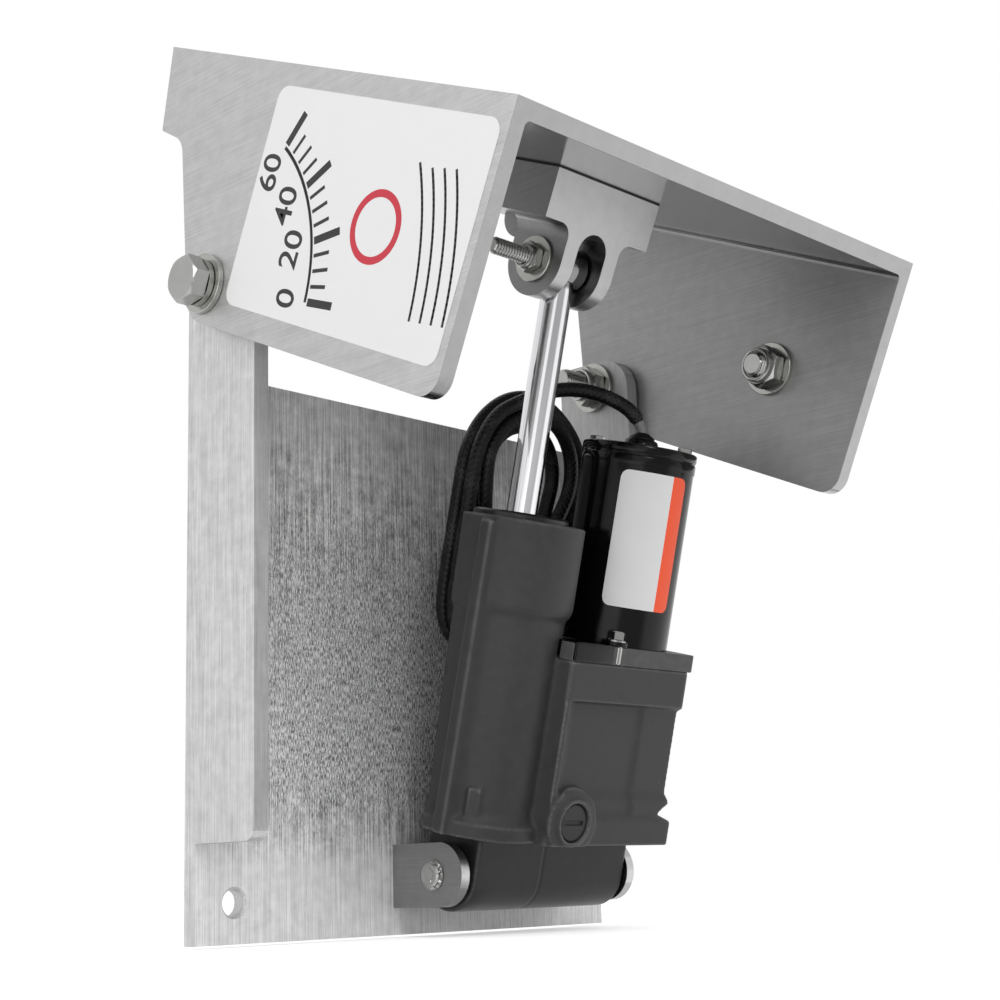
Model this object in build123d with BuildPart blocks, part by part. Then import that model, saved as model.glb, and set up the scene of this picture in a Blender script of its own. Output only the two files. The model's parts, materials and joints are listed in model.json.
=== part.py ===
from build123d import *
from math import asin, atan2, cos, hypot, pi, radians, sin, tan
import os

# Power trim and tilt unit for an outboard motor, in millimetres.
# The origin is the centre of the transom bolt pattern, on the transom face (y = 0).
# +Z is up, +X is to the right as seen from behind the boat, and -Y points away from the boat.

# Plates
plate = 9.5
inside_radius = 3

# Base bracket, a channel whose web is lower than its flanges
base_width = 322
base_depth = 58.5
base_bottom = -123.1
web_top = 186.6
flange_foot = -70.8
flange_top = 246.4
base_half = base_width / 2
base_inside = base_half - plate

# Transom bolt pattern
bolt_spacing_x = 271
bolt_spacing_z = 203.2
transom_hole = 14.5

# Main hinge
pivot_y = -29.75
pivot_z = 228.8
pivot_bolt = 15.9
pivot_bore = 16.0
bush_outside = 20
hinge_gap = 1.5

# Tilt bracket, sloped as it stands in its raised position
slope = 24.52
tilt_inside = base_half + hinge_gap
tilt_half = tilt_inside + plate
plate_length = 294.8
side_depth = 146.5
pivot_back = 202.7
pivot_drop = 125.4

# Lower ears and the pin of the ram
ram_x = 4
pin_y = -42.3
pin_z = -90.1
lower_pin_size = 14
ear_plate = 6.35
ear_radius = 17.9
ear_nose = 5.5
left_ear_x = -21.4
right_ear_x = 121.5
lug_radius = 20.8
lug_bore = 18
lug_left = -8.6
lug_seam = 46
lug_right = 120

# Ram: measures along its axis start at the lower pin
lean = 14.92
eye_height = 354.3
barrel_radius = 34.3
collar_radius = 36
casting_shift = 1.5
foot_bottom = 26
foot_flange = 8.5
collar_bottom = 153
collar_full = 158
barrel_top = 206
bore_radius = 22
bore_bottom = 36
rod_size = 18
rod_hole = 18.12
gland_outside = 56
gland_top = 209.5

# Clevis block below the motor plate
clevis_width = 87.2
clevis_front = 96.75
clevis_rear = 173
clevis_bottom = 38.3
tongue_width = 44
tongue_radius = 21.25
slot_width = 23.2
slot_roof = 38.8
eye_back = 118
eye_drop = 61
clevis_bolt_size = 10

# Pump and its motor, beside the barrel
pump_left = 14
pump_front = 45
pump_back = 28
pump_waist = 45
lip_bottom = 109
adapter_bottom = 131.5
motor_u = 85.5
motor_front = 8
motor_radius = 34.5
motor_foot = 142
motor_top = 256
gear_teeth = 12
gear_module = 1.5
gear_spacing = 18.5

# Cable
cable_size = 9


def direction(angle):
    """A vector that leans from +Y towards +Z by this angle."""
    return (0, cos(radians(angle)), sin(radians(angle)))


pivot = Vector(0, pivot_y, pivot_z)
back_along_plate = Vector(*direction(slope))
out_of_plate = Vector(*direction(slope + 90))
tilt_origin = pivot - back_along_plate * pivot_back + out_of_plate * pivot_drop
# Sketch planes of the tilt bracket: from the side and from its front edge
tilt_side = Plane(origin=tilt_origin, x_dir=back_along_plate, z_dir=(1, 0, 0))
tilt_front = Plane(origin=tilt_origin, x_dir=(1, 0, 0), z_dir=back_along_plate * -1)

lower_pin_centre = Vector(ram_x, pin_y, pin_z)
ram_axis = Vector(*direction(lean + 90))
ram_back = Vector(*direction(lean))
# Sketch planes of the ram: across its axis, with the second coordinate towards the boat, and from the side
ram = Plane(origin=lower_pin_centre, x_dir=(1, 0, 0), z_dir=ram_axis)
ram_side = Plane(origin=lower_pin_centre, x_dir=ram_back, z_dir=(1, 0, 0))
ram_line = Axis(lower_pin_centre, ram_axis)

os.makedirs("parts", exist_ok=True)


def save(builder, label):
    builder.part.label = label
    export_step(builder.part, f"parts/{label}.step")


def ram_point(u, back, height):
    return lower_pin_centre + Vector(u, 0, 0) + ram_back * back + ram_axis * height


def plate_point(x, back, drop):
    return tilt_origin + Vector(x, 0, 0) + back_along_plate * back - out_of_plate * drop


def facing(point, normal):
    """A plane at a point, for a fastener whose head looks along the normal."""
    return Plane(origin=point, z_dir=normal)


left = Vector(-1, 0, 0)
right = Vector(1, 0, 0)


def hex_bolt(size, flats, head, length, collar=0):
    """A hexagon bolt with its head above the plane z = 0 and its shank below."""
    with BuildPart() as bolt:
        with BuildSketch():
            RegularPolygon(flats / 2, 6, major_radius=False)
        extrude(amount=head)
        chamfer(bolt.faces().sort_by(Axis.Z)[-1].edges(), head * 0.12)
        if collar:
            with BuildSketch():
                Circle(flats * 0.62)
            extrude(amount=collar)
        with BuildSketch():
            Circle(size / 2)
        extrude(amount=-length)
        chamfer(bolt.faces().sort_by(Axis.Z)[0].edges(), size * 0.08)
    return bolt.part


def lock_nut(size, flats, height):
    """A nut that stands on the plane z = 0, with the round crown of its nylon insert."""
    with BuildPart() as nut:
        with BuildSketch():
            RegularPolygon(flats / 2, 6, major_radius=False)
        extrude(amount=height * 0.72)
        with BuildSketch(Plane.XY.offset(height * 0.72)):
            Circle(flats * 0.44)
        extrude(amount=height * 0.28)
        chamfer(nut.faces().sort_by(Axis.Z)[-1].edges(), height * 0.1)
        with BuildSketch():
            Circle(size / 2)
        extrude(amount=height, mode=Mode.SUBTRACT)
    return nut.part


def washer(outside, inside, thickness):
    with BuildPart() as ring:
        with BuildSketch():
            Circle(outside / 2)
            Circle(inside / 2, mode=Mode.SUBTRACT)
        extrude(amount=thickness)
    return ring.part


def countersunk_screw(size, length):
    """A flat-head screw whose face is in the plane z = 0, with its socket."""
    with BuildPart() as screw:
        with BuildSketch():
            Circle(size)
        extrude(amount=-size / 2, taper=45)
        with BuildSketch():
            Circle(size / 2)
        extrude(amount=-length)
        with BuildSketch():
            RegularPolygon(size * 0.3, 6)
        extrude(amount=-size * 0.35, mode=Mode.SUBTRACT)
    return screw.part


def ring_of(radius_out, radius_in, low, high):
    """A sleeve around the axis of the ram."""
    with BuildPart() as sleeve:
        with BuildSketch(ram.offset(low)):
            Circle(radius_out)
            Circle(radius_in, mode=Mode.SUBTRACT)
        extrude(amount=high - low)
    return sleeve.part


# Base bracket
web_height = web_top - base_bottom
front_radius = 22
notch_radius = 8
ear_screw_size = 4
ear_screw_length = 20
ear_screw_rows = (-98.5, -81.7)
with BuildPart() as base_bracket:
    with BuildSketch(Plane.XZ):
        with Locations((0, base_bottom + web_height / 2)):
            Rectangle(base_width, web_height)
    extrude(amount=plate)
    for x in (-base_half, base_inside):
        with BuildSketch(Plane.YZ.offset(x)) as flange_outline:
            with BuildLine():
                Polyline(
                    (0, flange_foot),
                    (-base_depth, flange_foot),
                    (-base_depth, flange_top),
                    (0, flange_top),
                    close=True,
                )
            make_face()
            fillet(flange_outline.vertices().group_by(Axis.X)[0].sort_by(Axis.Y)[-1], front_radius)
            fillet(flange_outline.vertices().sort_by_distance((-base_depth, flange_foot))[0], notch_radius)
        extrude(amount=plate)
    inner_corners = (
        base_bracket.edges()
        .filter_by(Axis.Z)
        .filter_by_position(Axis.Y, -plate - 0.1, -plate + 0.1)
        .filter_by_position(Axis.X, -base_inside - 0.1, base_inside + 0.1)
    )
    fillet(inner_corners, inside_radius)
    with Locations(Plane(origin=(0, -plate, 0), x_dir=(1, 0, 0), z_dir=(0, -1, 0))):
        with GridLocations(bolt_spacing_x, bolt_spacing_z, 2, 2):
            CounterSinkHole(transom_hole / 2, transom_hole / 2 + 1.15, counter_sink_angle=90)
    with Locations(Plane(origin=(-base_half, pivot_y, pivot_z), z_dir=(-1, 0, 0))):
        Hole(pivot_bore / 2)
    with Locations(Plane(origin=(base_half, pivot_y, pivot_z), z_dir=(1, 0, 0))):
        Hole(pivot_bore / 2, depth=plate)
    for x in (left_ear_x + ear_plate / 2, right_ear_x + ear_plate / 2):
        for z in ear_screw_rows:
            with Locations(Plane(origin=(x, 0, z), z_dir=(0, 1, 0))):
                CounterSinkHole(ear_screw_size / 2, ear_screw_size, counter_sink_angle=90)
save(base_bracket, "base_bracket")


def ear(x, label):
    """A lower ear: straight from the web, with a round nose a little in front of the pin."""
    nose_y = pin_y - ear_nose
    with BuildPart() as plate_ear:
        with BuildSketch(Plane.YZ.offset(x)):
            with Locations(((nose_y - plate) / 2, pin_z)):
                Rectangle(-plate - nose_y, 2 * ear_radius)
            with Locations((nose_y, pin_z)):
                Circle(ear_radius)
            with Locations((pin_y, pin_z)):
                Circle(lower_pin_size / 2 + 0.05, mode=Mode.SUBTRACT)
        extrude(amount=ear_plate)
        for z in ear_screw_rows:
            with BuildSketch(Plane(origin=(x + ear_plate / 2, -plate, z), z_dir=(0, -1, 0))):
                Circle(ear_screw_size / 2)
            extrude(amount=ear_screw_length - plate + 2, mode=Mode.SUBTRACT)
    save(plate_ear, label)


ear(left_ear_x, "lower_ear_left")
ear(right_ear_x, "lower_ear_right")

with BuildPart() as ear_screws:
    for x in (left_ear_x + ear_plate / 2, right_ear_x + ear_plate / 2):
        for z in ear_screw_rows:
            with Locations(facing((x, 0, z), (0, 1, 0))):
                add(countersunk_screw(ear_screw_size, ear_screw_length))
save(ear_screws, "ear_screws")

# Lower pin, with a push-on ring at each end and a spacer in the left gap
pin_left = left_ear_x - 3
pin_right = right_ear_x + ear_plate + 2.2
ring_outside = 17.6
ring_thickness = 1.6
ring_gap = 0.4
with BuildPart() as lower_pin:
    with BuildSketch(Plane.YZ.offset(pin_left)):
        with Locations((pin_y, pin_z)):
            Circle(lower_pin_size / 2)
    extrude(amount=pin_right - pin_left)
    chamfer(lower_pin.edges().filter_by(GeomType.CIRCLE), 1)
save(lower_pin, "lower_pin")

with BuildPart() as pin_rings:
    for x in (left_ear_x - ring_gap - ring_thickness, right_ear_x + ear_plate + ring_gap):
        with BuildSketch(Plane.YZ.offset(x)):
            with Locations((pin_y, pin_z)):
                Circle(ring_outside / 2)
                Circle(lower_pin_size / 2, mode=Mode.SUBTRACT)
        extrude(amount=ring_thickness)
save(pin_rings, "pin_rings")

spacer_ends = ((left_ear_x + ear_plate, lug_left - 0.2), (lug_right + 0.2, right_ear_x))
with BuildPart() as pin_spacers:
    for low, high in spacer_ends:
        with BuildSketch(Plane.YZ.offset(low)):
            with Locations((pin_y, pin_z)):
                Circle(lug_radius - 3)
                Circle(lower_pin_size / 2, mode=Mode.SUBTRACT)
        extrude(amount=high - low)
save(pin_spacers, "pin_spacers")

# Main hinge: bolt, lock washer and flat washer outside, flat washer and nut inside, on each side
bolt_flats = 23.8
bolt_head = 9.2
flat_washer = 3.2
lock_washer = 4
washer_gap = 0.1
head_face = tilt_half + washer_gap + flat_washer + lock_washer
nut_height = 13.5
thread_end = 118
hinge_sides = ((-1, left), (1, right))
with BuildPart() as pivot_bolts:
    for side, outwards in hinge_sides:
        with Locations(facing((side * head_face, pivot_y, pivot_z), outwards)):
            add(hex_bolt(pivot_bolt, bolt_flats, bolt_head, head_face - thread_end))
save(pivot_bolts, "pivot_bolts")

with BuildPart() as pivot_washers:
    for side, outwards in hinge_sides:
        with Locations(facing((side * (tilt_half + washer_gap), pivot_y, pivot_z), outwards)):
            add(washer(33.3, pivot_bolt, flat_washer))
        with Locations(facing((side * base_inside, pivot_y, pivot_z), outwards * -1)):
            add(washer(33.3, pivot_bolt, flat_washer))
save(pivot_washers, "pivot_washers")

with BuildPart() as lock_washers:
    for side, outwards in hinge_sides:
        with Locations(facing((side * (head_face - lock_washer), pivot_y, pivot_z), outwards)):
            add(washer(26, pivot_bolt, lock_washer))
save(lock_washers, "lock_washers")

with BuildPart() as pivot_nuts:
    for side, outwards in hinge_sides:
        nut_seat = base_inside - flat_washer
        with Locations(facing((side * nut_seat, pivot_y, pivot_z), outwards * -1)):
            add(lock_nut(pivot_bolt, bolt_flats, nut_height))
save(pivot_nuts, "pivot_nuts")

bush_flange = hinge_gap - 0.2
with BuildPart() as pivot_bushes:
    for side, outwards in hinge_sides:
        with Locations(facing((side * tilt_inside, pivot_y, pivot_z), outwards)):
            add(washer(bush_outside, pivot_bore, plate))
        with Locations(facing((side * tilt_inside, pivot_y, pivot_z), outwards * -1)):
            add(washer(30, pivot_bore, bush_flange))
save(pivot_bushes, "pivot_bushes")

# Tilt bracket: one outline for both sides, hollowed to a channel
side_bolt_back = 72.5
side_bolt_drop = 82.5
clevis_screw_x = (ram_x - 30, ram_x + 30)
clevis_screw_back = (112, 158)
clevis_screw_size = 10
with BuildPart() as tilt_bracket:
    with BuildSketch(tilt_side.offset(-tilt_half)) as side_outline:
        with BuildLine():
            Polyline(
                (0, 0),
                (plate_length, 0),
                (plate_length - 10.8, -48.4),
                (261.5, -51.5),
                (211.5, -side_depth),
                (0, -side_depth),
                close=True,
            )
        make_face()
        for corner, radius in (
            ((plate_length - 10.8, -48.4), 2),
            ((261.5, -51.5), 14),
            ((211.5, -side_depth), 20),
            ((0, -side_depth), 12),
        ):
            fillet(side_outline.vertices().sort_by_distance(corner)[0], radius)
    extrude(amount=2 * tilt_half)
    with BuildSketch(tilt_side.offset(-tilt_inside)):
        with Locations((plate_length / 2, -plate - side_depth / 2)):
            Rectangle(plate_length * 1.2, side_depth)
    extrude(amount=2 * tilt_inside, mode=Mode.SUBTRACT)
    under_plate = (
        tilt_bracket.edges()
        .filter_by(Axis(tilt_origin, back_along_plate))
        .filter_by(lambda edge: edge.length > plate_length * 0.9)
        .filter_by_position(Axis.X, -tilt_inside - 0.1, tilt_inside + 0.1)
    )
    fillet(under_plate, inside_radius)
    for side, outwards in hinge_sides:
        with Locations(facing((side * tilt_half, pivot_y, pivot_z), outwards)):
            Hole(bush_outside / 2, depth=plate)
    with Locations(facing(plate_point(tilt_half, side_bolt_back, side_bolt_drop), right)):
        Hole(pivot_bore / 2, depth=plate)
    for x in clevis_screw_x:
        for back in clevis_screw_back:
            with Locations(facing(plate_point(x, back, 0), out_of_plate)):
                CounterSinkHole(clevis_screw_size / 2, clevis_screw_size, depth=plate, counter_sink_angle=90)
save(tilt_bracket, "tilt_bracket")

# Decal on the left plate
decal_length = 176.5
decal_height = 120
decal_thickness = 0.3
decal_front = 5
decal_top = 12
with BuildPart() as side_decal:
    with BuildSketch(tilt_side.offset(-tilt_half - decal_thickness)):
        with Locations((decal_front + decal_length / 2, -decal_top - decal_height / 2)):
            RectangleRounded(decal_length, decal_height, 8)
    extrude(amount=decal_thickness)
save(side_decal, "side_decal")

# Clevis block: a flat body under the motor plate with a slotted tongue for the rod eye
clevis_left = ram_x - clevis_width / 2
tongue_left = ram_x - tongue_width / 2
rear_fillet = 13
side_fillet = 8
with BuildPart() as clevis_block:
    with BuildSketch(tilt_side.offset(clevis_left)):
        with Locations(((clevis_front + clevis_rear) / 2, -(plate + clevis_bottom) / 2)):
            Rectangle(clevis_rear - clevis_front, clevis_bottom - plate)
    extrude(amount=clevis_width)
    with BuildSketch(tilt_side.offset(tongue_left)):
        with Locations((eye_back, -(clevis_bottom + eye_drop) / 2)):
            Rectangle(2 * tongue_radius, eye_drop - clevis_bottom)
        with Locations((eye_back, -eye_drop)):
            Circle(tongue_radius)
    extrude(amount=tongue_width)
    joins = clevis_block.edges().filter_by(
        lambda edge: abs((edge.center() - tilt_origin).dot(out_of_plate) + clevis_bottom) < 0.1
        and abs(edge.center().X - ram_x) < tongue_width / 2 + 0.1
        and abs((edge.center() - tilt_origin).dot(back_along_plate) - eye_back) < tongue_radius - 1
    )
    fillet(joins, side_fillet)
    with BuildSketch(tilt_side.offset(tongue_left)) as rear_join:
        with BuildLine():
            rear = eye_back + tongue_radius
            Line((rear, -clevis_bottom), (rear + rear_fillet, -clevis_bottom))
            RadiusArc(
                (rear + rear_fillet, -clevis_bottom),
                (rear, -clevis_bottom - rear_fillet),
                rear_fillet,
            )
            Line((rear, -clevis_bottom - rear_fillet), (rear, -clevis_bottom))
        make_face()
    extrude(amount=tongue_width)
    with BuildSketch(tilt_front.offset(-clevis_rear)):
        with Locations((ram_x, -slot_roof - slot_width / 2)):
            Circle(slot_width / 2)
        with Locations((ram_x, -slot_roof - slot_width / 2 - 25)):
            Rectangle(slot_width, 50)
    extrude(amount=clevis_rear, mode=Mode.SUBTRACT)
    with BuildSketch(tilt_side.offset(tongue_left)):
        with Locations((eye_back, -eye_drop)):
            Circle(clevis_bolt_size / 2)
    extrude(amount=tongue_width, mode=Mode.SUBTRACT)
    for x in clevis_screw_x:
        for back in clevis_screw_back:
            with BuildSketch(facing(plate_point(x, back, plate), out_of_plate * -1)):
                Circle(clevis_screw_size / 2)
            extrude(amount=22, mode=Mode.SUBTRACT)
save(clevis_block, "clevis_block")

with BuildPart() as clevis_screws:
    for x in clevis_screw_x:
        for back in clevis_screw_back:
            with Locations(facing(plate_point(x, back, 0), out_of_plate)):
                add(countersunk_screw(clevis_screw_size, 30))
save(clevis_screws, "clevis_screws")

# Clevis bolt: its ends are held by the tongue, its middle turns in the rod eye
tongue_right = tongue_left + tongue_width
slot_left = ram_x - slot_width / 2
slot_right = ram_x + slot_width / 2
clevis_washer = 2
clevis_flats = 16
clevis_thread_end = -53.3
with BuildPart() as clevis_bolt:
    with Locations(facing(plate_point(tongue_right + clevis_washer, eye_back, eye_drop), right)):
        add(hex_bolt(clevis_bolt_size, clevis_flats, 6.5, tongue_right + clevis_washer - slot_right))
    with BuildSketch(tilt_side.offset(clevis_thread_end)):
        with Locations((eye_back, -eye_drop)):
            Circle(clevis_bolt_size / 2)
    extrude(amount=slot_left - clevis_thread_end)
    chamfer(clevis_bolt.faces().sort_by(Axis.X)[0].edges(), 1)
save(clevis_bolt, "clevis_bolt")

with BuildPart() as clevis_washers:
    with Locations(facing(plate_point(tongue_right, eye_back, eye_drop), right)):
        add(washer(20, clevis_bolt_size, clevis_washer))
    with Locations(facing(plate_point(tongue_left, eye_back, eye_drop), left)):
        add(washer(27, clevis_bolt_size, clevis_washer))
save(clevis_washers, "clevis_washers")

with BuildPart() as clevis_nut:
    with Locations(facing(plate_point(tongue_left - clevis_washer, eye_back, eye_drop), left)):
        add(lock_nut(clevis_bolt_size, clevis_flats, 8))
save(clevis_nut, "clevis_nut")

# Side bolt in the right plate
side_bolt_reach = 20
with BuildPart() as side_bolt:
    with Locations(facing(plate_point(tilt_half, side_bolt_back, side_bolt_drop), right)):
        add(hex_bolt(pivot_bolt, bolt_flats, bolt_head, plate + side_bolt_reach))
save(side_bolt, "side_bolt")

with BuildPart() as side_bolt_washer:
    with Locations(facing(plate_point(tilt_inside, side_bolt_back, side_bolt_drop), left)):
        add(washer(33.3, pivot_bolt, flat_washer))
save(side_bolt_washer, "side_bolt_washer")

with BuildPart() as side_bolt_nut:
    with Locations(facing(plate_point(tilt_inside - flat_washer, side_bolt_back, side_bolt_drop), left)):
        add(lock_nut(pivot_bolt, bolt_flats, nut_height))
save(side_bolt_nut, "side_bolt_nut")

# Barrel: a casting turned about an axis beside the bore's, with a collar above and a flange at its foot
casting = Plane(origin=ram_point(casting_shift, -casting_shift, 0), x_dir=ram_back, z_dir=(1, 0, 0))
foot_top = foot_bottom + foot_flange
foot_reach = barrel_radius + 3
flat_side = ((33.2, barrel_top), (31.5, 115), (28.3, foot_bottom))
cut_reach = 60
with BuildPart() as barrel_form:
    with BuildSketch(casting):
        with BuildLine():
            Polyline(
                (barrel_radius, foot_top + 9),
                (barrel_radius, collar_bottom),
                (collar_radius, collar_full),
                (collar_radius, barrel_top - 0.8),
                (collar_radius - 0.8, barrel_top),
                (0, barrel_top),
                (0, foot_bottom),
                (foot_reach, foot_bottom),
                (foot_reach, foot_top),
            )
            TangentArc((barrel_radius, foot_top + 9), (foot_reach, foot_top), tangent=(0, -1))
        make_face()
    revolve(axis=Axis(ram_point(casting_shift, -casting_shift, 0), ram_axis))
    # The side towards the left and the boat is flat, and comes in towards the foot
    away = (ram_back - right).normalized()
    with BuildSketch(Plane(origin=lower_pin_centre, x_dir=away, z_dir=away.cross(ram_axis))):
        Polygon(*flat_side, (cut_reach, foot_bottom), (cut_reach, barrel_top), align=None)
    extrude(amount=cut_reach, both=True, mode=Mode.SUBTRACT)

rib_width = 9
rib_reach = 37.5
rib_front = 9.5
rib_top = 203
pad_angle = 221
pad_top = 54
with BuildPart() as cylinder_housing:
    add(barrel_form.part)
    with BuildSketch(ram.offset(foot_bottom)):
        with Locations((-rib_reach / 2, -rib_front)):
            RectangleRounded(rib_reach, rib_width, 1.5)
    extrude(amount=rib_top - foot_bottom)
    with BuildSketch(ram.offset(foot_bottom)):
        with PolarLocations(barrel_radius - 1, 1, start_angle=pad_angle):
            RectangleRounded(6, 8, 1)
    extrude(amount=pad_top - foot_bottom)
    with BuildSketch(ram_side.offset(lug_left - ram_x)):
        with Locations((0, foot_bottom / 2)):
            Rectangle(2 * lug_radius, foot_bottom)
        Circle(lug_radius)
    extrude(amount=lug_seam - lug_left)
    with BuildSketch(ram_side.offset(lug_left - ram_x)):
        Circle(lug_bore / 2)
    extrude(amount=lug_seam - lug_left, mode=Mode.SUBTRACT)
    with BuildSketch(ram.offset(bore_bottom)):
        Circle(bore_radius)
    extrude(amount=barrel_top - bore_bottom, mode=Mode.SUBTRACT)
save(cylinder_housing, "cylinder_housing")

# Gland, wiper and seal at the top of the barrel
gland_bottom = 184
seal_depth = 4
seal_low = gland_bottom + 8
seal_high = gland_bottom + 14
wiper_low = gland_top - 3
with BuildPart() as gland:
    with BuildSketch(ram_side):
        with BuildLine():
            Polyline(
                (rod_hole / 2, gland_bottom),
                (bore_radius - 0.05, gland_bottom),
                (bore_radius - 0.05, barrel_top),
                (gland_outside / 2, barrel_top),
                (gland_outside / 2, gland_top - 1),
                (gland_outside / 2 - 1, gland_top),
                (rod_hole / 2 + seal_depth, gland_top),
                (rod_hole / 2 + seal_depth, wiper_low),
                (rod_hole / 2, wiper_low),
                (rod_hole / 2, seal_high),
                (rod_hole / 2 + seal_depth, seal_high),
                (rod_hole / 2 + seal_depth, seal_low),
                (rod_hole / 2, seal_low),
                close=True,
            )
        make_face()
    revolve(axis=ram_line)
save(gland, "gland")

with BuildPart() as rod_wiper:
    add(ring_of(rod_hole / 2 + seal_depth, rod_hole / 2 + 0.05, wiper_low, gland_top + 0.6))
save(rod_wiper, "rod_wiper")

with BuildPart() as rod_seal:
    add(ring_of(rod_hole / 2 + seal_depth, rod_hole / 2 + 0.05, seal_low, seal_high))
save(rod_seal, "rod_seal")

# Piston rod with its round eye, and the piston on its lower end
piston_bottom = 160
piston_top = 178
piston_nut_height = 8
rod_tail = 9
rod_neck = rod_size / 2 - 2
eye_radius = 12.5
eye_width = 20
eye_bore = 7
ring_low = piston_bottom + 6.5
ring_high = piston_bottom + 11.5
with BuildPart() as piston_rod:
    with BuildSketch(ram_side.offset(-eye_width / 2)):
        with Locations((0, eye_height)):
            Circle(eye_radius)
    extrude(amount=eye_width)
    with BuildSketch(ram.offset(piston_bottom - rod_tail)):
        Circle(rod_neck)
    extrude(amount=rod_tail + piston_top - piston_bottom)
    with BuildSketch(ram.offset(piston_top)):
        Circle(rod_size / 2)
    extrude(amount=eye_height - piston_top - rod_size / 2)
    with BuildSketch(ram_side.offset(-eye_width / 2)):
        with Locations((0, eye_height)):
            Circle(eye_bore)
    extrude(amount=eye_width, mode=Mode.SUBTRACT)
save(piston_rod, "piston_rod")

with BuildPart() as eye_bush:
    with BuildSketch(ram_side.offset(-eye_width / 2)):
        with Locations((0, eye_height)):
            Circle(eye_bore)
            Circle(clevis_bolt_size / 2, mode=Mode.SUBTRACT)
    extrude(amount=eye_width)
save(eye_bush, "eye_bush")

with BuildPart() as clevis_pin:
    with BuildSketch(ram_side.offset(-slot_width / 2 + 0.1)):
        with Locations((0, eye_height)):
            Circle(clevis_bolt_size / 2)
    extrude(amount=slot_width - 0.2)
save(clevis_pin, "clevis_pin")

with BuildPart() as piston:
    add(ring_of(bore_radius - 0.06, rod_neck, piston_bottom, piston_top))
    add(ring_of(bore_radius + 1, bore_radius - 3, ring_low, ring_high), mode=Mode.SUBTRACT)
save(piston, "piston")

with BuildPart() as piston_seal:
    add(ring_of(bore_radius - 0.05, bore_radius - 3, ring_low, ring_high))
save(piston_seal, "piston_seal")

with BuildPart() as piston_nut:
    with BuildSketch(ram.offset(piston_bottom - piston_nut_height)):
        RegularPolygon(12, 6, major_radius=False)
        Circle(rod_neck, mode=Mode.SUBTRACT)
    extrude(amount=piston_nut_height)
save(piston_nut, "piston_nut")


def lug_bush(low, high):
    with BuildPart() as bush:
        with BuildSketch(Plane.YZ.offset(low)):
            with Locations((pin_y, pin_z)):
                Circle(lug_bore / 2)
                Circle(lower_pin_size / 2 + 0.05, mode=Mode.SUBTRACT)
        extrude(amount=high - low)
    return bush.part


with BuildPart() as lug_bushes:
    add(lug_bush(lug_left, lug_left + 20))
    add(lug_bush(lug_right - 20, lug_right))
save(lug_bushes, "lug_bushes")


def block_section(right_end, front, back, corner):
    """A pump section beside the barrel, with a round corner at its right front."""
    with BuildSketch(mode=Mode.PRIVATE) as section:
        with BuildLine():
            Polyline(
                (pump_left, -front),
                (right_end, -front),
                (right_end, back),
                (pump_left + 22, back),
                (pump_left, back - 22),
                close=True,
            )
        make_face()
        fillet(section.vertices().sort_by_distance((right_end, -front))[0], corner)
        fillet(section.vertices().sort_by_distance((pump_left, -front))[0], 2)
    return section.sketch


valve_u = 33
valve_height = 40
valve_front = 49
valve_hole = 22.5
valve_recess = 9
arch_radius = 20


def valve_boss(radius, front):
    with BuildPart() as boss:
        with BuildSketch(Plane(origin=ram_point(valve_u, 0, valve_height), z_dir=ram_back * -1)):
            Circle(radius)
        extrude(amount=front)
        split(bisect_by=ram.offset(foot_bottom), keep=Keep.TOP)
    return boss.part


gear_bottom = 112
gear_top = 124
gear_tip = gear_module * gear_teeth / 2 + gear_module
drive_centre = (motor_u, -motor_front)
driven_centre = (motor_u - gear_spacing, -motor_front)
body_right = 121.5
body_front = pump_front - 3
face_front = pump_front - 1.5
with BuildPart() as pump_housing:
    # The body is set back between a rib on its left and a flat face on its right
    with BuildSketch(ram.offset(pump_waist)):
        with BuildLine():
            Polyline(
                (pump_left, -pump_front),
                (pump_left + 4, -pump_front),
                (pump_left + 6, -body_front),
                (84, -body_front),
                (88, -face_front),
                (body_right, -face_front),
                (body_right, pump_back),
                (pump_left + 22, pump_back),
                (pump_left, pump_back - 22),
                close=True,
            )
        make_face()
    extrude(amount=lip_bottom - pump_waist)
    with BuildSketch(Plane(origin=ram_point(0, pump_back, 0), x_dir=(1, 0, 0), z_dir=ram_back * -1)):
        Polygon(
            (body_right + 1, pump_waist - 1),
            (body_right + 1, pump_waist + 6.5),
            (body_right, pump_waist + 6),
            (body_right - 9, pump_waist),
            (body_right - 9, pump_waist - 1),
            align=None,
        )
    extrude(amount=pump_front + pump_back, mode=Mode.SUBTRACT)
    with BuildSketch(ram.offset(lip_bottom)):
        add(block_section(122, pump_front, pump_back, 6))
    extrude(amount=adapter_bottom - lip_bottom)
    add(barrel_form.part, mode=Mode.SUBTRACT)
    with BuildSketch(ram.offset(gear_bottom - 0.1)):
        with Locations(drive_centre, driven_centre):
            Circle(gear_tip + 0.3)
    extrude(amount=adapter_bottom - gear_bottom + 0.1, mode=Mode.SUBTRACT)
    add(valve_boss(arch_radius, pump_front + 2), mode=Mode.SUBTRACT)
save(pump_housing, "pump_housing")

with BuildPart() as gear_cover:
    with BuildSketch(ram.offset(gear_top + 0.1)):
        with Locations(drive_centre, driven_centre):
            Circle(gear_tip + 0.3)
        with Locations(drive_centre):
            Circle(4.1, mode=Mode.SUBTRACT)
        with Locations(driven_centre):
            Circle(3, mode=Mode.SUBTRACT)
    extrude(amount=adapter_bottom - gear_top - 0.1)
save(gear_cover, "gear_cover")

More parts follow.
